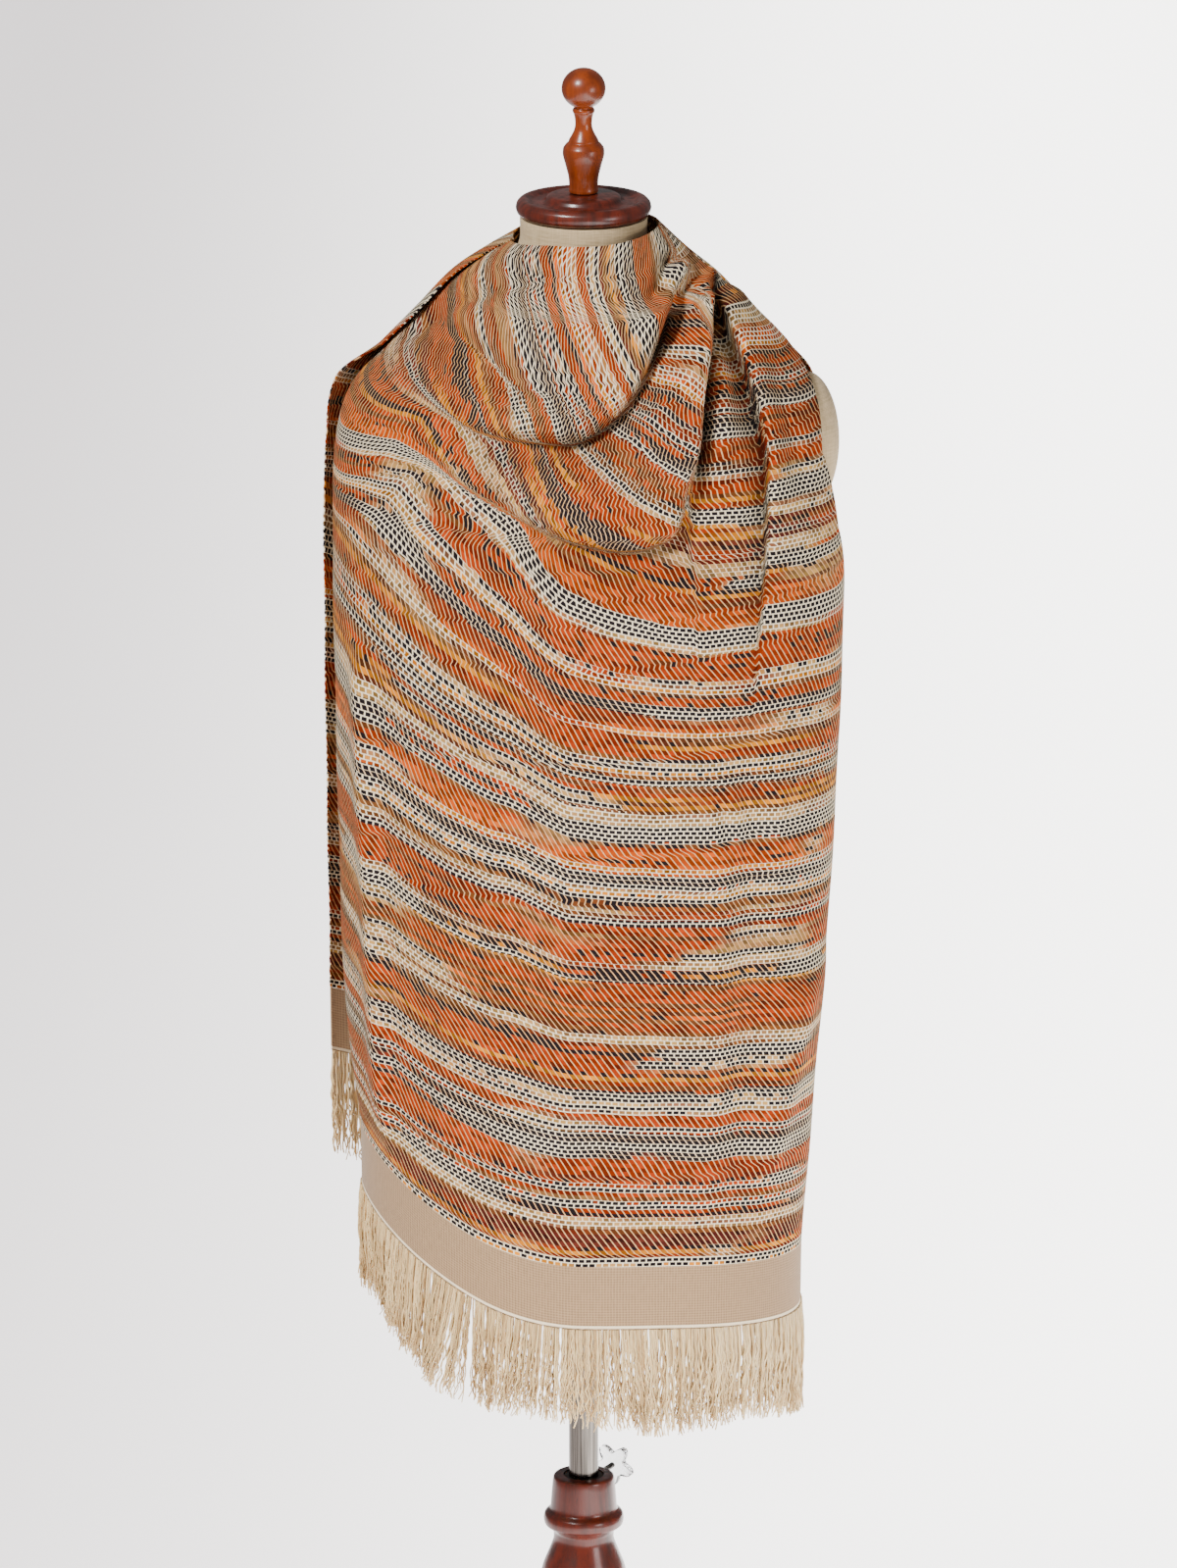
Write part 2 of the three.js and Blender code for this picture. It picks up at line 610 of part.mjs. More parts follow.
function columnGeometry() {
  const body = turned([
    [columnBore, columnTop], [columnBore, boreBottom], [0, boreBottom], [0, baseHeight + seam],
    [60, baseHeight + seam], [62, 34], [61, 40], [54, 45], [42, 52], [36, 64], [35, 76], [39, 82], [43, 89],
    [42, 96], [36, 101], [30, 108], [28.5, 122], [30, 145], [34, 175], [39, 205], [41, 228], [40, 248], [36.2, 266],
    [30, 281], [26.3, 291], [26.6, 298], [30, 302], [34.5, 305], [35.4, 310], [34.4, 315], [30, 318.5], [29.2, 321],
    [28.4, 332], [27.4, 344], [26.6, 348.6], [25, columnTop], [columnBore, columnTop],
  ], 20);
  return fromSolid(toSolid(body).subtract(toSolid(screwRod(screwRadius + 0.4, 10, 60))));
}

function sleeveGeometry() {
  const inside = poleRadius + poleClearance;
  const outside = columnBore - seam;
  const body = turned([
    [inside, boreBottom + 40], [outside, boreBottom + 40], [outside, columnTop - 1], [inside, columnTop - 1],
    [inside, boreBottom + 40],
  ], 16);
  return fromSolid(toSolid(body).subtract(toSolid(screwRod(screwRadius + 0.4, 5, 40))));
}

function baseGeometry() {
  return turned([
    [0, 0], [baseRadius - 2, 0], [baseRadius, 2], [baseRadius, 12], [baseRadius - 3, 16], [baseRadius - 10, 19],
    [baseRadius - 14, 23], [baseRadius - 20, 26], [90, 28], [70, baseHeight], [0, baseHeight],
  ], 32);
}

// Five-lobed clear knob
function knobGeometry() {
  const outline = new THREE.Shape();
  const steps = 30;
  for (let k = 0; k < steps; k++) {
    const angle = (2 * Math.PI * k) / steps;
    const radius = 15.5 + 4 * Math.cos(5 * angle);
    outline[k ? "lineTo" : "moveTo"](radius * Math.cos(angle), radius * Math.sin(angle));
  }
  outline.closePath();
  const disc = new THREE.ExtrudeGeometry(outline, { depth: 8, bevelEnabled: false });
  const hub = new THREE.CylinderGeometry(7, 8, 8, 24);
  hub.rotateX(Math.PI / 2);
  hub.translate(0, 0, -3);
  const hole = new THREE.CylinderGeometry(screwRadius + 0.3, screwRadius + 0.3, 20, 16);
  hole.rotateX(Math.PI / 2);
  hole.translate(0, 0, -6);
  const solid = toSolid(disc).add(toSolid(hub)).subtract(toSolid(hole));
  return placeOnScrew(fromSolid(solid), knobReach + 7);
}

function dressForm() {
  const group = new THREE.Group();
  group.add(piece("torso", torsoGeometry(), colours.linen, 0.85));
  group.add(piece("shoulder_cap_right", shoulderCap(1), colours.linen, 0.85));
  group.add(piece("shoulder_cap_left", shoulderCap(-1), colours.linen, 0.85));
  group.add(piece("neck_cap", neckCapGeometry(), colours.redWood, 0.25));
  group.add(piece("finial", finialGeometry(), colours.brownWood, 0.25));
  group.add(piece("bottom_plate", bottomPlateGeometry(), colours.redWood, 0.5));
  group.add(piece("pole_socket", socketGeometry(), colours.steel, 0.35, 1));
  return group;
}

function stand() {
  const group = new THREE.Group();
  group.add(piece("pole", poleGeometry(), colours.steel, 0.25, 1));
  group.add(piece("column", columnGeometry(), colours.redWood, 0.25));
  group.add(piece("column_sleeve", sleeveGeometry(), colours.dark, 0.6));
  group.add(piece("base", baseGeometry(), colours.redWood, 0.3));
  const screw = screwRod(screwRadius, poleRadius + seam, knobReach + 10);
  group.add(piece("clamp_screw", screw, colours.steel, 0.3, 1));
  group.add(piece("clamp_knob", knobGeometry(), colours.clear, 0.1));
  return group;
}

const group = new THREE.Group();
group.add(shawl(), dressForm(), stand());

export default group;
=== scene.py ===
# Looks of the striped shawl on its dress form. Tables and shapes are in millimetres, Blender gets metres.
import math

import bmesh
import bpy
import numpy as np
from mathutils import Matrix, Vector


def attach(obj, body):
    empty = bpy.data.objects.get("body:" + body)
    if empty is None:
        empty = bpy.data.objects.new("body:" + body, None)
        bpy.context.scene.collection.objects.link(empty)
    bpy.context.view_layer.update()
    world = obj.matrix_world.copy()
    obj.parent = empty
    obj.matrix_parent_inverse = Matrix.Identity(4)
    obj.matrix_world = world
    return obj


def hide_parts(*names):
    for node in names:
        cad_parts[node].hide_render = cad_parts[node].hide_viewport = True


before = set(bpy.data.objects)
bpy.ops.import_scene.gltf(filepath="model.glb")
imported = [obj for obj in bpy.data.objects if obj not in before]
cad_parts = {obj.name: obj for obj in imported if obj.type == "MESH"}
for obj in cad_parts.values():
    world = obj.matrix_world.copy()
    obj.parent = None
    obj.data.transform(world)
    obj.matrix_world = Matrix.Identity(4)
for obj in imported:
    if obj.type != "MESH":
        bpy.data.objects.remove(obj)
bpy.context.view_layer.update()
dice = np.random.default_rng(12)
clothThickness = 1.3
foldStrength = 1.35  # the creases are drawn deeper than their table says
gatherAcross = 98  # how far to the right the rows turn, and how high
gatherHeight = 1486


def rgb(red, green, blue):
    # screen colours to the linear ones that the shader works in
    part = np.array([red, green, blue]) / 255
    return (*np.where(part <= 0.04045, part / 12.92, ((part + 0.055) / 1.055) ** 2.4).tolist(), 1.0)


def smooth(f):
    f = np.clip(f, 0, 1)
    return f * f * (3 - 2 * f)


# shader maths


class Signal:
    # one output socket, so that a map can be written as a sum

    def __init__(self, tree, socket):
        self.tree = tree
        self.socket = socket

    def node(self, kind, settings, inputs, output=0):
        made = self.tree.nodes.new(kind)
        for key, value in settings.items():
            setattr(made, key, value)
        for key, value in inputs.items():
            if isinstance(value, Signal):
                self.tree.links.new(value.socket, made.inputs[key])
            else:
                made.inputs[key].default_value = value
        return Signal(self.tree, made.outputs[output])

    def math(self, operation, *others):
        return self.node("ShaderNodeMath", {"operation": operation}, dict(enumerate((self, *others))))

    def __add__(self, other):
        return self.math("ADD", other)

    def __radd__(self, other):
        return self.math("ADD", other)

    def __mul__(self, other):
        return self.math("MULTIPLY", other)

    def __sub__(self, other):
        return self.math("SUBTRACT", other)

    def __rsub__(self, other):
        return (self * -1.0) + other

    def __truediv__(self, other):
        return self.math("DIVIDE", other)

    def ramp(self, low, high, atLow=0.0, atHigh=1.0):
        # smooth step from one value to another
        settings = {"interpolation_type": "SMOOTHSTEP"}
        return self.node("ShaderNodeMapRange", settings, {0: self, 1: low, 2: high, 3: atLow, 4: atHigh})

    def tint(self, low, high):
        # colour between two colours, with this as the share of the second
        return self.node("ShaderNodeMix", {"data_type": "RGBA"}, {0: self, 6: low, 7: high}, 2)

    def shade(self, factor):
        # colour made lighter or darker
        return self.node("ShaderNodeVectorMath", {"operation": "SCALE"}, {0: self, "Scale": factor})

    def times(self, factors):
        # colour or place, each of its three parts by its own factor
        return self.node("ShaderNodeVectorMath", {"operation": "MULTIPLY"}, {0: self, 1: factors})

    def parts(self):
        made = self.tree.nodes.new("ShaderNodeSeparateXYZ")
        self.tree.links.new(self.socket, made.inputs[0])
        return [Signal(self.tree, socket) for socket in made.outputs]

    def noise(self, scale, detail=2.0):
        return self.node("ShaderNodeTexNoise", {}, {"Vector": self, "Scale": scale, "Detail": detail})

    def random(self, dimensions="1D"):
        # one number from 0 to 1 for each value or place
        given = {"W" if dimensions == "1D" else "Vector": self}
        return self.node("ShaderNodeTexWhiteNoise", {"noise_dimensions": dimensions}, given)

    def stretched(self, x, y, z):
        return self.times((x, y, z))

    def joined(self, y, z=0.0):
        return self.node("ShaderNodeCombineXYZ", {}, {0: self, 1: y, 2: z})

    def fromMiddle(self):
        # distance from the middle of each whole step, 0 to a half
        return self.math("FRACT").math("SUBTRACT", 0.5).math("ABSOLUTE")

    def bump(self, strength, distance):
        return self.node("ShaderNodeBump", {}, {"Strength": strength, "Distance": distance, "Height": self})


def newMaterial(name, mapName=None):
    material = bpy.data.materials.new(name)
    material.use_nodes = True
    tree = material.node_tree
    tree.nodes.clear()
    if mapName:
        start = tree.nodes.new("ShaderNodeUVMap")
        start.uv_map = mapName
        return material, Signal(tree, start.outputs[0])
    start = tree.nodes.new("ShaderNodeTexCoord")
    return material, Signal(tree, start.outputs["Object"])


def finishMaterial(material, maps, numbers):
    tree = material.node_tree
    shader = tree.nodes.new("ShaderNodeBsdfPrincipled")
    for key, value in numbers.items():
        shader.inputs[key].default_value = value
    for key, signal in maps.items():
        tree.links.new(signal.socket, shader.inputs[key])
    output = tree.nodes.new("ShaderNodeOutputMaterial")
    tree.links.new(shader.outputs[0], output.inputs[0])
    return material


# meshes from arrays


def gridFaces(rows, columns, wrap=False):
    # four corners of each cell, along the row first and then down
    across = columns if wrap else columns - 1
    r, c = np.meshgrid(np.arange(rows - 1), np.arange(across), indexing="ij")
    n = (c + 1) % columns
    quads = [r * columns + c, r * columns + n, (r + 1) * columns + n, (r + 1) * columns + c]
    return np.stack(quads, axis=-1).reshape(-1, 4)


def addObject(name, corners, faces, material, uv=None, crease=None, tidy=False, depth=None):
    mesh = bpy.data.meshes.new(name)
    mesh.from_pydata((corners * 0.001).tolist(), [], faces.tolist())
    # the depth attribute carries painted shade, which darkens the cloth's colour in creases and at the slit
    if depth is not None:
        mesh.attributes.new("depth", "FLOAT", "POINT").data.foreach_set("value", depth.ravel())
    if uv is not None:
        loops = np.empty(len(mesh.loops), dtype=np.int32)
        mesh.loops.foreach_get("vertex_index", loops)
        layer = mesh.uv_layers.new(name="weave")
        layer.data.foreach_set("uv", (uv[loops] * 0.001).ravel())
    if tidy:
        work = bmesh.new()
        work.from_mesh(mesh)
        bmesh.ops.remove_doubles(work, verts=work.verts, dist=1e-6)
        bmesh.ops.recalc_face_normals(work, faces=work.faces)
        work.to_mesh(mesh)
        work.free()
    mesh.shade_smooth()
    if crease:
        mesh.set_sharp_from_angle(angle=math.radians(crease))
    mesh.materials.append(material)
    made = bpy.data.objects.new(name, mesh)
    bpy.context.scene.collection.objects.link(made)
    return made


def handIn(made, body, node):
    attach(made, body)
    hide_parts(node)
    return made


def outwards(grid):
    # unit normals of a grid: along the row crossed with down the column
    down = np.gradient(grid, axis=0)
    along = np.gradient(grid, axis=1)
    out = np.cross(along, down)
    return out / np.maximum(np.linalg.norm(out, axis=2, keepdims=True), 1e-9)


def shell(name, grid, uv, material, thickness=clothThickness, depth=None):
    # a closed sheet round a grid of points: outer face, inner face and the four rims
    rows, columns = grid.shape[:2]
    out = outwards(grid) * thickness / 2
    corners = np.concatenate([(grid + out).reshape(-1, 3), (grid - out).reshape(-1, 3)])
    size = rows * columns
    outer = gridFaces(rows, columns)
    inner = outer[:, ::-1] + size
    top = np.arange(columns)
    side = np.arange(rows) * columns
    edges = [top[::-1], top + size - columns, side, side[::-1] + columns - 1]
    rims = [np.stack([e[:-1], e[1:], e[1:] + size, e[:-1] + size], axis=1) for e in edges]
    faces = np.concatenate([outer, inner, *rims])
    depth = None if depth is None else np.tile(depth.ravel(), 2)
    uv = np.tile(uv.reshape(-1, 2), (2, 1))
    return addObject(name, corners, faces, material, uv, crease=60, depth=depth)


def rounded(profile, turns=2):
    # cuts each corner of a profile off a little way along both of its sides, over and over
    line = np.array(profile, dtype=float)
    for _ in range(turns):
        low = line[:-1] * 0.82 + line[1:] * 0.18
        high = line[:-1] * 0.18 + line[1:] * 0.82
        line = np.concatenate([line[:1], np.stack([low, high], axis=1).reshape(-1, 2)[1:-1], line[-1:]])
    return line


def turned(name, profile, material, segments=72, crease=40, turns=2):
    # a profile of [radius, z] spun round the Z axis
    line = rounded(profile, turns)
    angle = np.linspace(0, 2 * math.pi, segments, endpoint=False)
    x = line[:, :1] * np.cos(angle)
    y = line[:, :1] * np.sin(angle)
    z = np.broadcast_to(line[:, 1:], x.shape)
    corners = np.stack([x, y, z], axis=-1).reshape(-1, 3)
    faces = gridFaces(len(line), segments, wrap=True)
    return addObject(name, corners, faces, material, crease=crease, tidy=True)


# cloth shapes


def alongTable(table, column, place):
    # smooth curve through the rows of a table; place 0 is the first row
    rows = np.vstack([2 * table[0] - table[1], table, 2 * table[-1] - table[-2]])[:, column]
    i = np.minimum(np.floor(place).astype(int), len(table) - 2)
    f = place - i
    a, b, c, d = rows[i], rows[i + 1], rows[i + 2], rows[i + 3]
    return 0.5 * (2 * b + (c - a) * f + (2 * a - 5 * b + 4 * c - d) * f**2 + (3 * b - a - 3 * c + d) * f**3)


def ringPoint(rings, place, angle):
    # x is a half-width times the cosine, y a depth times the sine, and z runs between its two heights
    across, toFront = np.cos(angle), np.sin(angle)
    side = np.where(across > 0, alongTable(rings, 0, place), alongTable(rings, 2, place))
    zSide = np.where(across > 0, alongTable(rings, 1, place), alongTable(rings, 3, place))
    depth = np.where(toFront > 0, alongTable(rings, 4, place), alongTable(rings, 6, place))
    zDepth = np.where(toFront > 0, alongTable(rings, 5, place), alongTable(rings, 7, place))
    return np.stack([side * across, -depth * toFront, zSide * across**2 + zDepth * toFront**2], axis=-1)


def pathPoints(path, each=7):
    # smooth line through a few [x, z] pairs
    table = np.array(path, dtype=float)
    place = np.linspace(0, len(table) - 1, each * (len(table) - 1) + 1)
    return np.stack([alongTable(table, 0, place), alongTable(table, 1, place)], axis=-1)


def nearPath(path, x, z):
    # distance from a path, share of the way along it, and whether the place lies above it
    points = pathPoints(path)
    best = np.full(x.shape, np.inf)
    share = np.zeros_like(x)
    isAbove = np.zeros(x.shape, dtype=bool)
    for i in range(len(points) - 1):
        start, step = points[i], points[i + 1] - points[i]
        f = np.clip(((x - start[0]) * step[0] + (z - start[1]) * step[1]) / (step @ step), 0, 1)
        gap = np.hypot(x - start[0] - f * step[0], z - start[1] - f * step[1])
        near = gap < best
        best = np.where(near, gap, best)
        share = np.where(near, (i + f) / (len(points) - 1), share)
        isAbove = np.where(near, step[0] * (z - start[1]) - step[1] * (x - start[0]) > 0, isAbove)
    return best, share, isAbove


def foldPush(folds, x, z):
    # each fold adds its depth times a bell over the distance from its path, faded at both ends
    push = np.zeros_like(x)
    for depth, above, below, fadeIn, fadeOut, path in folds:
        gap, share, isAbove = nearPath(path, x, z)
        ends = smooth(share / fadeIn) * smooth((1 - share) / fadeOut)
        push += depth * ends * np.exp(-((gap / np.where(isAbove, above, below)) ** 2))
    return push


def hiddenCloth(tucks, x, z):
    # cloth taken up in creases: a step across each crease, all of it below and none above
    total = np.zeros_like(x)
    for hidden, fadeRight, path in tucks:
        line = pathPoints(path)
        level = np.interp(x, line[:, 0], line[:, 1])
        tilt = np.interp(x, line[:, 0], np.gradient(line[:, 1], line[:, 0]))
        ends = smooth((line[-1, 0] - x) / fadeRight)
        wide = 3 + 80 * smooth((-100 - x) / 90)  # no crease is left at the shoulder
        total += hidden * ends * smooth(0.5 + (level - z) / np.sqrt(1 + tilt**2) / wide)
    return total


def clothGrid(piece):
    # rows of points from the neck edge down, with the angle and place of each, and its depth: the share of
    # painted shade in deep creases, at the slit and at the lapped edge
    rings = np.array(piece["rings"], dtype=float)
    last = len(rings) - 1
    place = np.interp(np.linspace(0, 1, piece["rows"]), piece["rowShares"], np.arange(last + 1))[:, None]
    share = np.linspace(0, 1, piece["columns"])[None, :]
    # columns stand closer towards the gather
    gathered = share if piece["gather"] == 0 else 1 - share
    crowd = 0.45 * (1 - smooth((place - 6) / 3))
    gathered = gathered * (1 - crowd + crowd * gathered)
    share = gathered if piece["gather"] == 0 else 1 - gathered
    i = np.minimum(np.floor(place).astype(int), last - 1)
    f = place - i
    fromDeg = rings[i, 8] * (1 - f) + rings[i + 1, 8] * f
    toDeg = rings[i, 9] * (1 - f) + rings[i + 1, 9] * f
    angle = np.radians(fromDeg * (1 - share) + toDeg * share)
    place = np.broadcast_to(place, angle.shape)
    plain = ringPoint(rings, place, angle)
    near = 0.01
    down = ringPoint(rings, np.minimum(place + near, last), angle)
    down = down - ringPoint(rings, np.maximum(place - near, 0), angle)
    along = ringPoint(rings, place, angle + near) - ringPoint(rings, place, angle - near)
    out = np.cross(along, down)
    out /= np.linalg.norm(out, axis=2, keepdims=True)
    x, z = plain[..., 0], plain[..., 2]
    facing = smooth(piece["facing"](angle))
    push = foldPush(piece["folds"] + piece["wrinkles"], x, z)
    push *= foldStrength * facing
    # painted shade: depth darkens the colour in deep creases, and the shades add painted shade along the slit
    # and the lapped edge
    shades = foldPush(piece["shades"], x, z) * facing
    depth = np.clip(smooth((-push - 13) / 17) + shades, 0, 1)
    push = keptOut(plain, out, push + piece["uneven"](plain, place))
    grid = plain + out * push[..., None]
    grid[..., 0] += foldPush(piece["laps"], x, z) * facing
    return plain, grid, place, angle, depth


def weaveMap(piece, plain, grid, place, angle):
    # v is the distance from the point where the rows turn, round the form and down, with the cloth that
    # the creases hide. u is v times the angle that a place makes there, so that warp threads fan out
    steps = np.linalg.norm(np.diff(plain[..., :2], axis=1), axis=2)
    run = np.concatenate([np.zeros((len(plain), 1)), np.cumsum(steps, axis=1)], axis=1)
    towards = run if piece["gather"] == 0 else run[:, -1:] - run
    x, z = plain[..., 0], plain[..., 2]
    inReach = x >= np.minimum(gatherAcross, x.max(axis=1, keepdims=True) - 0.01)
    onRight = inReach & (np.abs(angle - (0 if piece["gather"] == 0 else 2 * math.pi)) < math.pi / 2)
    atGather = np.where(onRight, towards, 0).max(axis=1, keepdims=True)
    # near the neck the turn comes earlier along the ring, so that rows run on straight to the rolled edge
    fromTop = place[:, :1]
    atGather = np.where(fromTop < 3, np.interp(3, fromTop[:, 0], atGather[:, 0]) * fromTop / 3, atGather)
    beyond = towards - atGather
    drop = gatherHeight - z
    pleated = 110 * (1 - smooth((drop - 120) / 400))
    left = np.maximum(beyond, 0)
    bent = np.clip((left - 120) / 260, 0, 1)  # round the far side the rows come back to level
    left = left - 0.75 * (260 * (bent**3 - bent**4 / 2) + np.maximum(left - 380, 0))
    left = left + pleated * smooth(beyond / 8)
    fallen = np.maximum(drop + hiddenCloth(piece["tucks"], x, z), 1e-3)
    far = np.hypot(left, fallen)
    # the folds make the way round longer, which only the warp threads take part in
    folded = np.linalg.norm(np.diff(grid, axis=1), axis=2) - np.linalg.norm(np.diff(plain, axis=1), axis=2)
    longer = np.concatenate([np.zeros((len(plain), 1)), np.cumsum(folded, axis=1)], axis=1)
    longer = longer if piece["gather"] == 0 else longer[:, -1:] - longer
    slope = 0.32 * smooth((z - 1340) / 90)
    atStrip = drop + piece["hiddenAtGather"] - slope * np.maximum(x - gatherAcross, 0)
    v = np.where(beyond > 0, far, atStrip)
    # the layer beyond the lapped edge lies lower, which breaks the stripes there
    lap = pathPoints(piece["shades"][0][5])[::-1]
    pastLap = smooth(0.5 + (x - np.interp(z, lap[:, 1], lap[:, 0])) / 3)
    v = v + 19 * pastLap * smooth((z - 1060) / 130) * (np.abs(beyond) < 260)
    upright = 0.6 * smooth((fallen - 250) / 350)  # lower down the warp hangs nearer to upright
    fan = far * np.arctan2(left, fallen) * (1 - upright) + left * upright + np.maximum(beyond, 0) - left
    u = np.where(beyond > 0, fan, beyond) + longer
    v = v * (1 + (piece["hemAt"] / v[-1:, :] - 1) * smooth((place - 4) / 6))
    return np.stack([u, piece["hemAt"] - v], axis=-1)


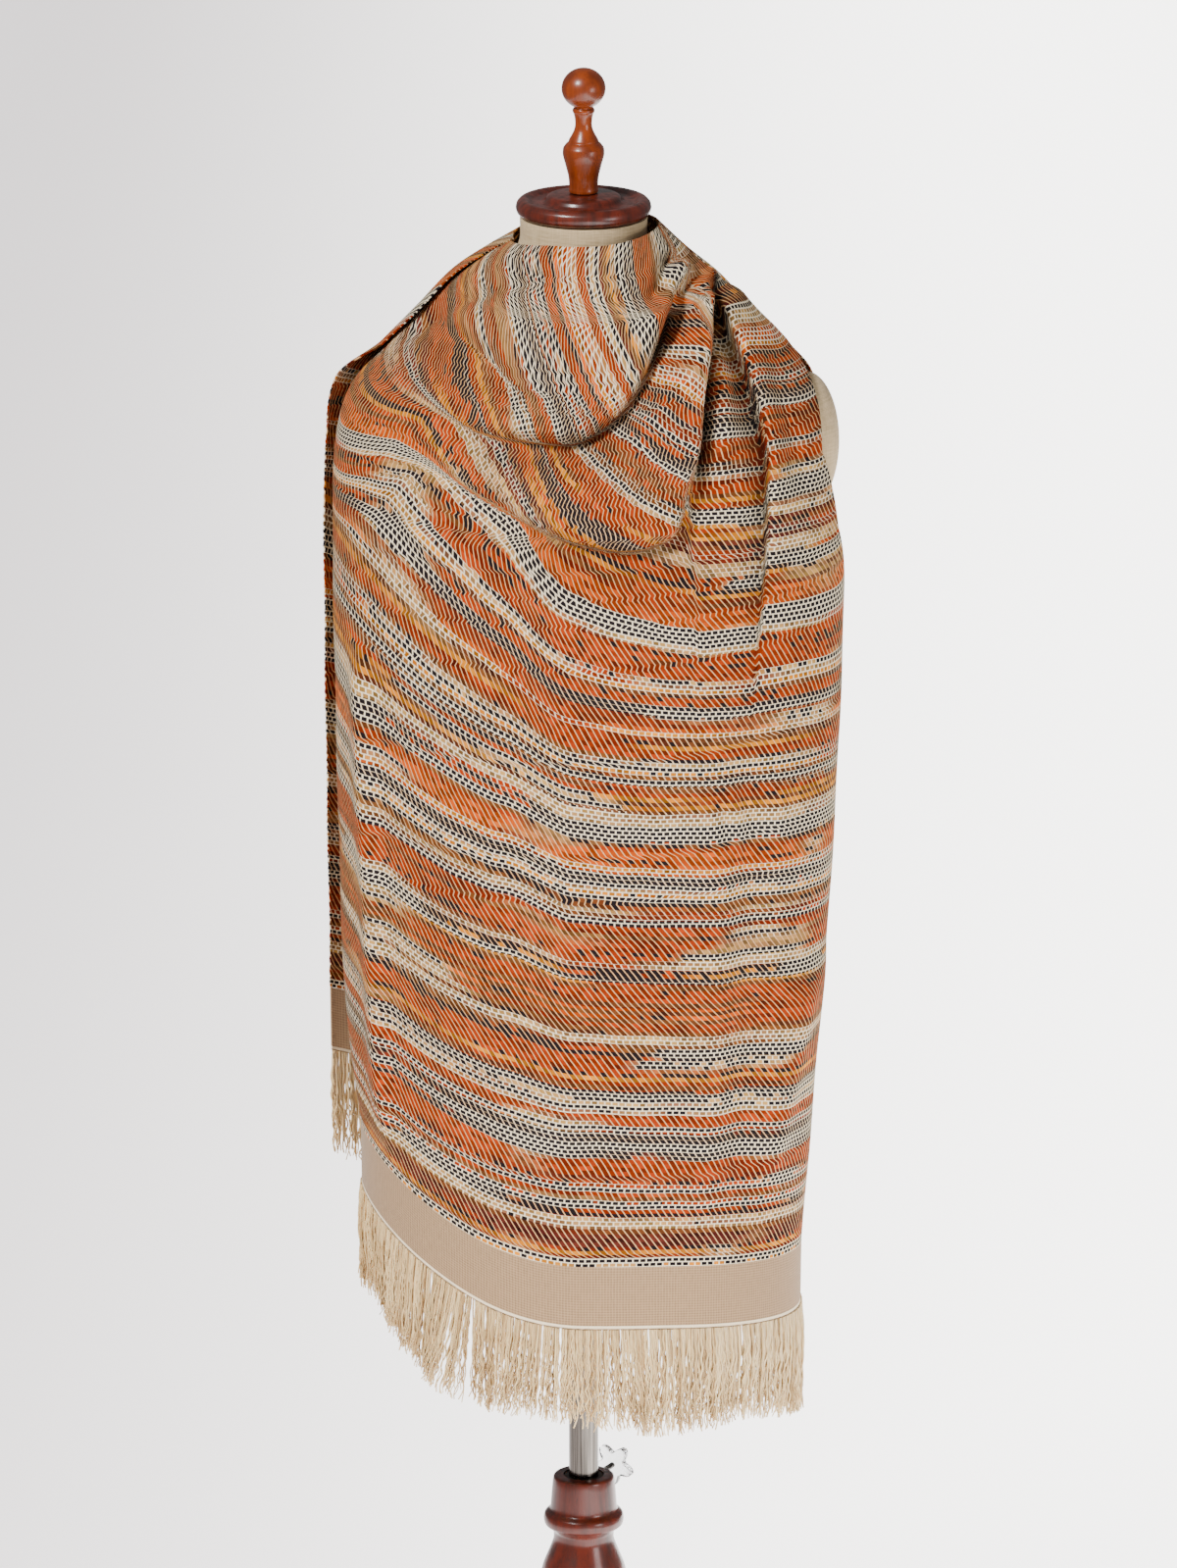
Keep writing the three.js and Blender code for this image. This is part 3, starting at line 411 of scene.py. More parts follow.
frontDrape = {
    "rows": 262,
    "columns": 186,
    "gather": 0,
    "hemAt": 1005.0,
    "hiddenAtGather": 115,
    "rowShares": [0, 0.035, 0.085, 0.14, 0.19, 0.25, 0.325, 0.42, 0.55, 0.735, 0.87, 1],
    "facing": lambda angle: (math.pi - 0.02 - angle) / 0.2,
    "uneven": lambda p, place: 0.7
    * smooth(place - 1)
    * (np.sin(p[..., 0] / 23 + p[..., 2] / 61) * np.sin(p[..., 2] / 34 - p[..., 0] / 47)),
    # right, height there, left, height, front, height, behind, height, from and to in degrees
    "rings": [
        [64, 1479, 60, 1461, 70, 1474, 64, 1474, 0.6, 206],
        [88, 1456, 84, 1448, 83, 1449, 76, 1450, 0.6, 206],
        [118, 1430, 114, 1427, 96, 1417, 88, 1420, 0.6, 206],
        [146, 1400, 143, 1397, 109, 1380, 98, 1385, 0.6, 206],
        [174, 1374, 171, 1368, 121, 1342, 108, 1350, 0.6, 206],
        [200, 1342, 200, 1334, 134, 1302, 118, 1312, 12, 203],
        [216, 1296, 212, 1285, 145, 1256, 126, 1265, 20, 203],
        [223, 1222, 215, 1200, 152, 1195, 131, 1200, 13, 203],
        [222, 1100, 214, 1080, 155, 1075, 134, 1080, -6, 203],
        [214, 900, 210, 895, 154, 880, 134, 890, -14, 203],
        [203, 740, 206, 780, 152, 730, 132, 790, -17, 203],
        [190, 570, 194, 680, 149, 592, 128, 740, -17, 203],
    ],
    # depth, half-width above and below, share of the path to fade in and out, path as [x, z]
    "folds": [
        # rolled edge and the crease under it
        [6, 11, 11, 0.1, 0.3, [[-8, 1466], [-54, 1456], [-83, 1443], [-117, 1424], [-142, 1398]]],
        [-8, 7, 9, 0.1, 0.2, [[-8, 1456], [-46, 1447], [-76, 1437], [-121, 1414], [-165, 1374]]],
        # swags over the chest, each with the roll under it
        [-10, 10, 19, 0.2, 0.4, [[-152, 1387], [-121, 1397], [-108, 1396], [-86, 1382], [-53, 1360],
          [-22, 1354]]],
        [6, 22, 22, 0.3, 0.4, [[-140, 1366], [-105, 1362], [-70, 1340], [-30, 1332], [10, 1345]]],
        [-16, 5, 16, 0.3, 0.1,
         [[-149, 1343], [-86, 1323], [-29, 1318], [0, 1321], [35, 1343], [57, 1372], [73, 1403],
          [83, 1447]]],
        [10, 18, 24, 0.3, 0.2,
         [[-150, 1318], [-90, 1296], [-30, 1286], [20, 1292], [55, 1325], [80, 1370], [92, 1415]]],
        [-14, 7, 26, 0.3, 0.1,
         [[-149, 1302], [-91, 1272], [-38, 1244], [0, 1231], [35, 1225], [63, 1229], [88, 1246],
          [101, 1330]]],
        [5, 22, 34, 0.4, 0.4, [[-120, 1250], [-50, 1206], [20, 1190], [75, 1200], [115, 1240]]],
        # small pleats at the gather
        [-8, 6, 8, 0.1, 0.4, [[77, 1461], [66, 1440], [56, 1415]]],
        [8, 9, 9, 0.1, 0.4, [[84, 1455], [75, 1437], [58, 1414], [43, 1388]]],
        [-8, 6, 9, 0.1, 0.4, [[87, 1440], [74, 1403], [52, 1372]]],
        [11, 11, 12, 0.1, 0.4, [[93, 1440], [96, 1415], [87, 1384], [67, 1349], [40, 1326]]],
        # dark slit, the pleat beside it and the folded strip
        [-22, 6, 6, 0.1, 0.3, [[107, 1432], [105, 1404], [102, 1362], [101, 1310], [100, 1270]]],
        [5, 6, 18, 0.1, 0.3, [[98, 1432], [96, 1404], [93, 1362], [92, 1310], [91, 1270]]],
        [6, 12, 8, 0.3, 0.4, [[112, 1400], [116, 1350], [118, 1300], [112, 1240]]],
        [-7, 4, 13, 0.1, 0.4,
         [[106, 1433], [118, 1398], [130, 1372], [139, 1345], [146, 1320], [149, 1290], [147, 1200],
          [138, 1110]]],
        [9, 24, 5, 0.1, 0.4,
         [[114, 1428], [130, 1395], [143, 1370], [152, 1342], [160, 1310], [163, 1280], [161, 1200],
          [154, 1110]]],
        [-5, 10, 10, 0.3, 0.4, [[154, 1384], [172, 1345], [183, 1290], [186, 1240]]],
        # long hanging folds
        [10, 6, 12, 0.2, 0.3, [[-189, 1150], [-183, 1053], [-177, 900], [-170, 740], [-164, 655]]],
        [6, 14, 18, 0.3, 0.2, [[200, 850], [189, 810], [180, 766], [165, 700], [153, 640]]],
        [-4, 18, 18, 0.3, 0.2, [[140, 1100], [143, 930], [140, 754], [132, 610]]],
        [4, 20, 20, 0.3, 0.2, [[112, 1080], [113, 900], [108, 740], [98, 600]]],
        [-3, 30, 30, 0.3, 0.2, [[-20, 1100], [-5, 900], [4, 740], [10, 600]]],
    ],
    # hidden length, distance over which it fades at the right end, path
    "tucks": [
        [25, 60, [[-225, 1330], [-152, 1387], [-121, 1397], [-108, 1396], [-86, 1382], [-53, 1360],
          [-10, 1354]]],
        [60, 0.1,
         [[-226, 1280], [-149, 1343], [-86, 1323], [-29, 1318], [0, 1321], [35, 1343], [57, 1372],
          [73, 1403], [83, 1447], [99, 1500]]],
        [55, 0.1,
         [[-228, 1250], [-149, 1302], [-91, 1272], [-38, 1244], [0, 1231], [35, 1225], [63, 1229],
          [84, 1246], [92, 1300], [99, 1400]]],
    ],
    # sideways reach, then as for the folds
    "laps": [
        [-7, 22, 6, 0.1, 0.4,
         [[116, 1428], [133, 1395], [146, 1370], [155, 1342], [163, 1310], [166, 1280], [164, 1200],
          [157, 1110]]],
        [6, 7, 18, 0.1, 0.3, [[99, 1432], [97, 1404], [94, 1362], [93, 1310], [92, 1270]]],
    ],
    # painted shade where one layer would shade the next: how much, then as for the folds
    "shades": [
        [0.9, 2, 10, 0.05, 0.4,
         [[110, 1431], [124, 1396], [136, 1371], [145, 1343], [152, 1315], [155, 1285], [153, 1200],
          [146, 1110], [140, 1000]]],
        [1.0, 5, 4, 0.05, 0.3, [[110, 1440], [109, 1404], [106, 1362], [105, 1310], [103, 1255]]],
    ],
    # smaller folds, which the solids leave out
    "wrinkles": [
        [-2.6, 5, 6, 0.3, 0.4, [[102, 1022], [116, 1003], [122, 975], [118, 948]]],
        [2.2, 6, 7, 0.3, 0.4, [[114, 1026], [128, 1004], [134, 972], [129, 940]]],
        [-1.8, 6, 8, 0.3, 0.3, [[150, 900], [157, 878], [171, 866]]],
        [1.6, 8, 8, 0.3, 0.4, [[60, 1178], [96, 1150], [118, 1108]]],
        [-1.8, 8, 9, 0.3, 0.4, [[38, 1170], [80, 1138], [106, 1090]]],
        [1.8, 7, 9, 0.3, 0.4, [[-160, 1262], [-128, 1228], [-86, 1200]]],
        [-2.0, 7, 9, 0.3, 0.4, [[-170, 1250], [-140, 1212], [-98, 1180]]],
        [-2.2, 6, 8, 0.3, 0.4, [[-128, 1385], [-112, 1352], [-84, 1330]]],
        [2.0, 6, 8, 0.3, 0.4, [[-52, 1420], [-30, 1396], [0, 1384], [26, 1392]]],
        [-2.2, 5, 7, 0.3, 0.4, [[-60, 1408], [-34, 1382], [4, 1372], [34, 1386]]],
        [-1.6, 7, 8, 0.3, 0.3, [[-168, 1098], [-160, 1040], [-150, 990]]],
        [1.5, 8, 9, 0.3, 0.3, [[-120, 1010], [-112, 950], [-98, 902]]],
        [-1.6, 9, 9, 0.3, 0.3, [[40, 1010], [52, 960], [50, 905]]],
        [1.6, 8, 9, 0.3, 0.3, [[172, 1030], [166, 980], [170, 925]]],
        [-2.4, 6, 7, 0.3, 0.4, [[126, 1322], [128, 1290], [124, 1250]]],
        [2.0, 5, 6, 0.3, 0.4, [[168, 1366], [180, 1330], [190, 1296]]],
    ],
}

backDrape = {
    "rows": 220,
    "columns": 150,
    "gather": 1,
    "hemAt": 930.0,
    "hiddenAtGather": 90,
    "rowShares": [0, 0.04, 0.095, 0.155, 0.21, 0.275, 0.36, 0.46, 0.61, 0.795, 0.91, 1],
    "facing": lambda angle: (angle - math.pi - 0.2) / 0.3,
    "uneven": lambda p, place: 0.8
    * smooth(place - 1)
    * (np.sin(p[..., 0] / 27 - p[..., 2] / 52) * np.sin(p[..., 2] / 39 + p[..., 0] / 41)),
    "rings": [
        [64, 1479, 60, 1467, 70, 1474, 66, 1476, 174, 359.4],
        [88, 1456, 84, 1455, 83, 1449, 80, 1452, 173, 359.4],
        [118, 1430, 114, 1435, 96, 1417, 93, 1422, 173, 359.4],
        [146, 1400, 143, 1405, 109, 1380, 104, 1387, 174, 359.4],
        [174, 1374, 172, 1374, 121, 1342, 114, 1352, 177, 359.4],
        [201, 1340, 202, 1340, 134, 1302, 124, 1314, 187, 348],
        [216, 1290, 216, 1290, 145, 1256, 132, 1267, 194, 338],
        [220, 1222, 219, 1210, 152, 1195, 137, 1202, 194, 339],
        [219, 1100, 219, 1090, 155, 1075, 140, 1085, 194, 336],
        [214, 930, 218, 960, 154, 880, 140, 930, 194, 336],
        [208, 800, 217, 890, 152, 730, 138, 815, 194, 336],
        [202, 647, 216, 795, 149, 592, 134, 680, 194, 336],
    ],
    "folds": [
        [-9, 12, 18, 0.2, 0.4, [[82, 1440], [50, 1412], [5, 1392], [-45, 1390], [-100, 1400]]],
        [7, 16, 20, 0.2, 0.4, [[90, 1425], [60, 1385], [10, 1362], [-50, 1358], [-110, 1372]]],
        [-10, 14, 22, 0.2, 0.4, [[100, 1425], [80, 1370], [40, 1325], [-20, 1305], [-90, 1318],
          [-150, 1345]]],
        [7, 20, 26, 0.2, 0.4, [[112, 1410], [95, 1340], [50, 1282], [-15, 1262], [-90, 1275]]],
        [-8, 18, 28, 0.2, 0.4, [[122, 1400], [112, 1320], [70, 1240], [0, 1210], [-80, 1222],
          [-150, 1270]]],
        [8, 14, 12, 0.1, 0.3, [[130, 1405], [140, 1340], [146, 1240], [148, 1100], [140, 900]]],
        [-8, 10, 12, 0.1, 0.3, [[112, 1420], [118, 1340], [120, 1240], [118, 1100], [112, 950]]],
        [5, 22, 20, 0.3, 0.2, [[-120, 1250], [-130, 1100], [-132, 940], [-130, 800]]],
        [-5, 20, 24, 0.3, 0.2, [[-70, 1180], [-82, 1040], [-86, 900], [-84, 760]]],
        [5, 24, 24, 0.3, 0.2, [[-5, 1160], [-12, 1000], [-16, 860], [-18, 720]]],
        [-4, 22, 22, 0.3, 0.2, [[52, 1150], [50, 1000], [48, 840], [46, 690]]],
    ],
    "tucks": [
        [45, 0.1,
         [[-225, 1330], [-150, 1345], [-90, 1318], [-20, 1305], [40, 1325], [80, 1370], [99, 1440]]],
        [45, 0.1,
         [[-225, 1280], [-150, 1270], [-80, 1222], [0, 1210], [60, 1240], [90, 1320], [99, 1430]]],
    ],
    "laps": [[3, 12, 12, 0.1, 0.3, [[128, 1405], [138, 1340], [144, 1240], [146, 1100], [138, 900]]]],
    # painted shade along the fold beside the strip
    "shades": [[0.5, 3, 8, 0.05, 0.4, [[112, 1420], [118, 1340], [120, 1240], [118, 1100], [112, 950]]]],
    "wrinkles": [
        [-2.4, 6, 8, 0.3, 0.4, [[-40, 1430], [-10, 1418], [30, 1424]]],
        [2.0, 7, 9, 0.3, 0.4, [[-120, 1330], [-90, 1296], [-50, 1284]]],
        [-2.2, 7, 9, 0.3, 0.4, [[-150, 1220], [-120, 1180], [-84, 1160]]],
        [2.0, 8, 9, 0.3, 0.4, [[30, 1180], [66, 1150], [92, 1100]]],
        [-1.8, 8, 10, 0.3, 0.4, [[-160, 1040], [-152, 980], [-160, 920]]],
        [1.8, 8, 9, 0.3, 0.4, [[10, 960], [20, 900], [12, 850]]],
        [-2.0, 8, 9, 0.3, 0.4, [[86, 900], [94, 850], [88, 800]]],
    ],
}

# striped wool

weave = {"row": 0.0037, "dash": 0.0059, "warp": 0.00203}  # pitch of each in metres
# each stripe from the hem up: width, colour of yarn, how full it covers the ground and its share of black
tan = (0.36, 0.19, 0.066, 1.0)
ink = (0.010, 0.007, 0.009, 1.0)
rust = (0.26, 0.024, 0.002, 1.0)
orange = (0.42, 0.054, 0.001, 1.0)
gold = (0.50, 0.16, 0.004, 1.0)
brick = (0.17, 0.017, 0.004, 1.0)
wine = (0.085, 0.015, 0.010, 1.0)
umber = (0.12, 0.035, 0.010, 1.0)
hemStripes = [
    [8, tan, 0.1, 0.3], [9, brick, 0.9, 0.4], [16, wine, 0.9, 0.3], [11, tan, 0.1, 0.0],
    [11, ink, 0.25, 0.9], [20, rust, 0.9, 0.3], [12, brick, 0.9, 0.1], [8, tan, 0.1, 0.0],
    [24, ink, 0.25, 0.95], [16, rust, 0.85, 0.05], [18, tan, 0.1, 0.1], [5, ink, 0.3, 1.0],
    [27, rust, 0.85, 0.5], [10, ink, 0.3, 1.0], [25, tan, 0.12, 0.05], [11, orange, 1.0, 0.0],
    [12, brick, 1.0, 0.0], [10, rust, 0.9, 0.15], [12, ink, 0.25, 1.0], [10, tan, 0.1, 0.0],
    [5, ink, 0.3, 1.0], [23, rust, 0.95, 0.06], [6, orange, 0.5, 0.6], [8, tan, 0.1, 0.0],
    [11, ink, 0.25, 1.0], [7, tan, 0.1, 0.1], [4, brick, 0.5, 0.0], [10, ink, 0.25, 1.0],
]
middleStripes = [
    [21, orange, 0.95, 0.05], [9, rust, 0.7, 0.5], [14, ink, 0.25, 0.9], [12, tan, 0.1, 0.0],
    [22, rust, 0.9, 0.1], [7, ink, 0.3, 1.0], [16, tan, 0.1, 0.15], [26, orange, 0.95, 0.02],
    [10, brick, 0.8, 0.4], [18, ink, 0.25, 0.9], [20, tan, 0.12, 0.0], [17, rust, 0.9, 0.3],
    [8, tan, 0.1, 0.0], [13, ink, 0.3, 1.0], [29, orange, 0.95, 0.04], [15, ink, 0.25, 0.85],
    [11, tan, 0.1, 0.0], [19, wine, 0.85, 0.5], [12, gold, 0.7, 0.1], [16, ink, 0.25, 0.9],
    [24, rust, 0.95, 0.08], [14, tan, 0.1, 0.1],
]
topStripes = [
    [18, rust, 0.9, 0.05], [18, ink, 0.25, 0.95], [12, brick, 0.85, 0.5], [16, ink, 0.25, 0.9],
    [21, orange, 0.95, 0.0], [16, tan, 0.12, 0.1], [15, wine, 0.85, 0.5], [16, ink, 0.25, 0.95],
    [23, orange, 0.95, 0.04], [12, tan, 0.1, 0.0], [12, ink, 0.25, 1.0], [18, brick, 0.9, 0.3],
    [20, ink, 0.25, 0.7], [18, rust, 0.95, 0.15], [24, ink, 0.25, 0.8], [14, orange, 0.9, 0.1],
    [20, tan, 0.12, 0.1], [17, rust, 0.9, 0.3],
]


def stripeRamps(v, stripes, start):
    # two ramps in hard steps: colour with cover as alpha, and the share of black
    width = sum(stripe[0] for stripe in stripes)
    along = (v - start * 0.001) / (width * 0.001)
    ramps = []
    for pick in (lambda s: (*s[1][:3], s[2]), lambda s: (s[3], s[3], s[3], 1.0)):
        signal = along.node("ShaderNodeValToRGB", {}, {0: along})
        node = signal.socket.node
        node.color_ramp.interpolation = "CONSTANT"
        at = 0.0
        for i, stripe in enumerate(stripes):
            element = node.color_ramp.elements[i] if i < 1 else node.color_ramp.elements.new(at / width)
            element.position = at / width
            element.color = pick(stripe)
            at += stripe[0]
        node.color_ramp.elements[-1].color = pick(stripes[-1])
        ramps.append((signal, Signal(v.tree, node.outputs[1])))
    return ramps[0][0], ramps[0][1], ramps[1][0], start + width


def stripedWool(name):
    material, uv = newMaterial(name, "weave")
    wander = uv.noise(14.0, 1.0)
    u, v, _ = uv.parts()
    v = v + (wander - 0.5) * 0.004
    first = stripeRamps(v, hemStripes, 0)
    second = stripeRamps(v, middleStripes, first[3])
    third = stripeRamps(v, topStripes, second[3])
    inSecond = v.math("GREATER_THAN", first[3] * 0.001)
    inThird = v.math("GREATER_THAN", second[3] * 0.001)
    yarn = inThird.tint(inSecond.tint(first[0], second[0]), third[0])
    cover = first[1] + (second[1] - first[1]) * inSecond
    cover = cover + (third[1] - cover) * inThird
    black = first[2] + (second[2] - first[2]) * inSecond
    black = black + (third[2] - black) * inThird
    # weft rows, with the dashes of each row moved on from the last
    row = (v / weave["row"]).math("FLOOR")
    inRow = (v / weave["row"]).math("FRACT")
    chance = row.random()
    drift = (u * 5.0).joined(row * 0.11 + chance * 0.25).noise(1.0, 1.0)
    pick = (row + 71.3).random()
    # here and there a pair of rows is fuller or thinner than its stripe
    odd = ((row * 0.5).math("FLOOR") + 13.7).random()
    fuller = odd.math("LESS_THAN", 0.17)
    thinner = odd.math("GREATER_THAN", 0.8)
    cover = cover + (drift - 0.5) * 1.3 + (pick - 0.5) * 0.5 + 0.28 + fuller * 0.6 - thinner * 0.75
    cover = cover - drift.ramp(0.43, 0.34) * 0.6
    lean = row + inRow * cover.ramp(0.25, 0.7)
    dashes = u / weave["dash"] - lean * 0.5 + chance * 0.05
    which = dashes.math("FLOOR").joined(row)
    each = which.random("2D")
    # the yarn is dyed in lengths: a row changes colour along it, and whole groups of rows drift
    dyed = (u * 11.0).joined(row * 0.83).noise(1.0, 2.0)
    yarn = fuller.tint(yarn, rust)
    yarn = pick.math("LESS_THAN", 0.11).tint(yarn, gold)
    yarn = pick.math("GREATER_THAN", 0.84).tint(yarn, umber)
    yarn = drift.ramp(0.56, 0.64).tint(yarn, rust)
    yarn = drift.ramp(0.43, 0.34).tint(yarn, tan)
    # half the length and height of a dash, as shares of its pitch
    long = cover.ramp(0.2, 0.9, 0.39, 0.40)
    tall = cover.ramp(0.2, 0.9, 0.38, 0.54)
    across = dashes.fromMiddle()
    high = (inRow - 0.5).math("ABSOLUTE")
    mask = across.math("SUBTRACT", long).ramp(-0.04, 0.04, 1.0, 0.0)
    mask = mask * high.math("SUBTRACT", tall).ramp(-0.07, 0.07, 1.0, 0.0)
    black = black * 0.8 + chance.math("LESS_THAN", 0.2) * 0.5 + cover.ramp(0.1, 0.6, 0.3, 0.08)
    black = black * cover.ramp(0.4, 0.8, 0.95, 0.5)
    isBlack = (dyed * 0.9 + each * 0.3 - 0.1).math("LESS_THAN", black)
    warm = dyed.ramp(0.36, 0.5).tint(yarn.times((0.5, 0.36, 0.5)), yarn)
    warm = dyed.ramp(0.52, 0.64).tint(warm, yarn.times((1.25, 1.3, 1.0)))
    thread = isBlack.tint(warm.shade(0.34 + each * 0.98), ink)
    lint = uv.stretched(900, 500, 1).noise(1.0, 1.0)
    ground = lint.tint((0.72, 0.58, 0.38, 1.0), (1.0, 0.87, 0.64, 1.0))
    # painted shade: in dense stripes the ground between the dashes is darker and more orange, as if shaded by
    # the yarns over it
    ground = cover.ramp(0.3, 0.9).tint(ground, lint.tint((0.48, 0.23, 0.08, 1.0), (0.86, 0.54, 0.27, 1.0)))
    colour = mask.tint(ground, thread)
    # fine warp threads
    warpLine = (u / weave["warp"]).fromMiddle().ramp(0.2, 0.5)
    # painted shade: the depth attribute darkens the colour in deep creases, the slit and the lapped edge
    depth = uv.node("ShaderNodeAttribute", {"attribute_name": "depth"}, {}, 2)
    colour = colour.shade(1.0 - warpLine * 0.1 - depth * 0.88)
    rise = mask * 0.6 + (1.0 - high * 2.0) * 0.4 - warpLine * 0.25
    fuzz = uv.noise(1600.0, 2.0)
    maps = {"Base Color": colour, "Normal": (rise + fuzz * 0.5).bump(0.55, 0.0006)}
    numbers = {"Roughness": 0.92, "Specular IOR Level": 0.06}
    return finishMaterial(material, maps, numbers)


def creamWool(name):
    # plain weave of about 2.5 mm, and a stitched line along its lower edge
    material, uv = newMaterial(name, "weave")
    u, v, _ = uv.parts()
    wobble = (uv.noise(60.0, 1.0) - 0.5) * 0.0006
    warp = ((u + wobble) / 0.0026).fromMiddle()
    weft = ((v + wobble) / 0.0023).fromMiddle()
    slub = uv.stretched(600, 120, 1).noise(1.0, 2.0)
    grain = (warp + weft) * 0.9 + slub * 0.5
    stitch = (v - 0.0022).math("ABSOLUTE").ramp(0.0009, 0.0016, 1.0, 0.0)
    colour = grain.ramp(0.4, 1.1).tint((0.41, 0.26, 0.142, 1.0), (0.24, 0.15, 0.077, 1.0))
    colour = stitch.tint(colour, (0.92, 0.76, 0.52, 1.0))
    maps = {"Base Color": colour, "Normal": (stitch * 1.2 - grain).bump(0.5, 0.0005)}
    numbers = {"Roughness": 0.9, "Sheen Weight": 0.15, "Specular IOR Level": 0.2}
    return finishMaterial(material, maps, numbers)


def yarnWool(name):
    # v runs down each strand, and the plies wind round it
    material, uv = newMaterial(name, "weave")
    u, v, _ = uv.parts()
    ply = (v * 420.0 + u * 900.0).math("SINE")
    # each strand lighter or darker at random: partly its own tone, partly painted shade for strands in the
    # shadow of others
    strand = (u * 240.0).joined(v * 6.0).noise(1.0, 1.0)
    colour = strand.ramp(0.32, 0.62).tint((0.57, 0.35, 0.145, 1.0), (0.95, 0.69, 0.35, 1.0))
    colour = colour.shade(0.94 + ply * 0.05)
    maps = {"Base Color": colour, "Normal": ply.bump(0.3, 0.0003)}
    numbers = {"Roughness": 0.9, "Sheen Weight": 0.2, "Specular IOR Level": 0.2, "Subsurface Weight": 0.1}
    return finishMaterial(material, maps, numbers)


def linen(name):
    material, at = newMaterial(name)
    x, y, z = at.parts()
    weft = ((z + (at.noise(40.0, 1.0) - 0.5) * 0.001) / 0.0011).fromMiddle()
    slub = at.stretched(60, 60, 900).noise(1.0, 3.0)
    upright = at.stretched(900, 900, 50).noise(1.0, 2.0)
    grain = weft * 0.5 + slub * 0.8 + upright * 0.7
    colour = grain.ramp(0.5, 1.4).tint((0.66, 0.50, 0.29, 1.0), (0.36, 0.25, 0.13, 1.0))
    maps = {"Base Color": colour, "Normal": grain.bump(0.4, 0.0004)}
    numbers = {"Roughness": 0.88, "Sheen Weight": 0.1, "Specular IOR Level": 0.25}
    return finishMaterial(material, maps, numbers)


def wood(name, pale, dark, scale=1.0):
    # long grain up the Z axis, darker pores and a little lacquer
    material, at = newMaterial(name)
    bend = at.stretched(6, 6, 2).noise(1.0, 2.0)
    grain = at.stretched(160 * scale, 160 * scale, 9 * scale).noise(1.0, 5.0) + bend * 0.5
    pores = at.stretched(900, 900, 40).noise(1.0, 2.0).ramp(0.62, 0.74)
    colour = grain.ramp(0.5, 1.0).tint(pale, dark)
    colour = (pores * 0.5).tint(colour, rgb(30, 10, 6))
    maps = {
        "Base Color": colour,
        "Roughness": grain.ramp(0.4, 1.1, 0.26, 0.42),
        "Normal": (grain - pores * 0.5).bump(0.12, 0.0004),
    }
    numbers = {"Coat Weight": 0.22, "Coat Roughness": 0.15, "Specular IOR Level": 0.35}
    return finishMaterial(material, maps, numbers)


def steel(name):
    material, at = newMaterial(name)
    drawn = at.stretched(700, 700, 12).noise(1.0, 3.0)
    smudge = at.noise(18.0, 3.0)
    colour = drawn.ramp(0.3, 0.7).tint(rgb(62, 58, 54), rgb(116, 110, 104))
    maps = {
        "Base Color": colour,
        "Roughness": smudge.ramp(0.35, 0.7, 0.16, 0.34),
        "Normal": drawn.bump(0.08, 0.0002),
    }
    return finishMaterial(material, maps, {"Metallic": 1.0})


def darkPlastic(name):
    material, at = newMaterial(name)
    speck = at.noise(420.0, 2.0)
    maps = {
        "Base Color": speck.ramp(0.3, 0.7).tint(rgb(22, 18, 16), rgb(40, 34, 30)),
        "Roughness": speck.ramp(0.3, 0.7, 0.5, 0.7),
        "Normal": speck.bump(0.1, 0.0002),
    }
    return finishMaterial(material, maps, {})


def clearPlastic(name):
    material, at = newMaterial(name)
    scuff = at.noise(90.0, 4.0)
    maps = {
        "Base Color": scuff.ramp(0.3, 0.7).tint(rgb(236, 240, 242), rgb(250, 252, 252)),
        "Roughness": scuff.ramp(0.45, 0.75, 0.04, 0.16),
        "Normal": scuff.bump(0.05, 0.0003),
    }
    return finishMaterial(material, maps, {"Transmission Weight": 0.92, "IOR": 1.49})


striped = stripedWool("striped_wool")
cream = creamWool("cream_wool")
yarn = yarnWool("fringe_yarn")
linenCover = linen("form_linen")
redWood = wood("red_wood", (0.105, 0.014, 0.006, 1.0), (0.034, 0.006, 0.003, 1.0))
brownWood = wood("brown_wood", (0.24, 0.038, 0.003, 1.0), (0.11, 0.016, 0.002, 1.0), 0.8)
plated = steel("plated_steel")
sleeveBlack = darkPlastic("dark_sleeve")
clear = clearPlastic("clear_plastic")
print("materials made")


# torso

torsoShape = {
    "around": 96,
    "armholes": [-178, 190],  # the flats that the caps sit on
    # height, half-width, depth in front, depth behind, middle
    "rings": [
        [760, 152, 98, 100, 0], [800, 160, 104, 108, 0], [870, 163, 108, 116, 0], [960, 146, 98, 104, 0],
        [1050, 122, 88, 86, 0], [1140, 136, 104, 90, 2], [1220, 166, 122, 97, 3], [1262, 186, 119, 98, 5],
        [1300, 190, 110, 95, 5], [1333, 184, 101, 91, 5], [1356, 166, 92, 83, 5], [1378, 148, 80, 76, 4],
        [1400, 122, 69, 69, 3], [1420, 96, 62, 63, 1], [1440, 70, 59, 59, 0], [1462, 55.4, 55.4, 55.4, 0],
        [1484.7, 54.3, 54.3, 54.3, 0],
    ],
}
rings = np.array(torsoShape["rings"], dtype=float)
level = np.linspace(0, len(rings) - 1, 129)
heights = alongTable(rings, 0, level)


def roundness(side):
    # the neck is round, and the body has squarer rings: the power of the cosine and the sine
    return 1 - (1 - 2 / 2.3) * smooth((side - 60) / 15)


def inForm(points, room=1.9):
    # whether points lie in the torso with its width, depth and height grown by the room
    at = np.interp(points[..., 2] - room, heights, level)
    side, ahead, behind, middle = (alongTable(rings, k, at) for k in (1, 2, 3, 4))
    across = np.abs(points[..., 0] - middle) / (side + room)
    toFront = np.abs(points[..., 1]) / (np.where(points[..., 1] < 0, ahead, behind) + room)
    return across ** (2 / roundness(side)) + toFront ** (2 / roundness(side)) < 1


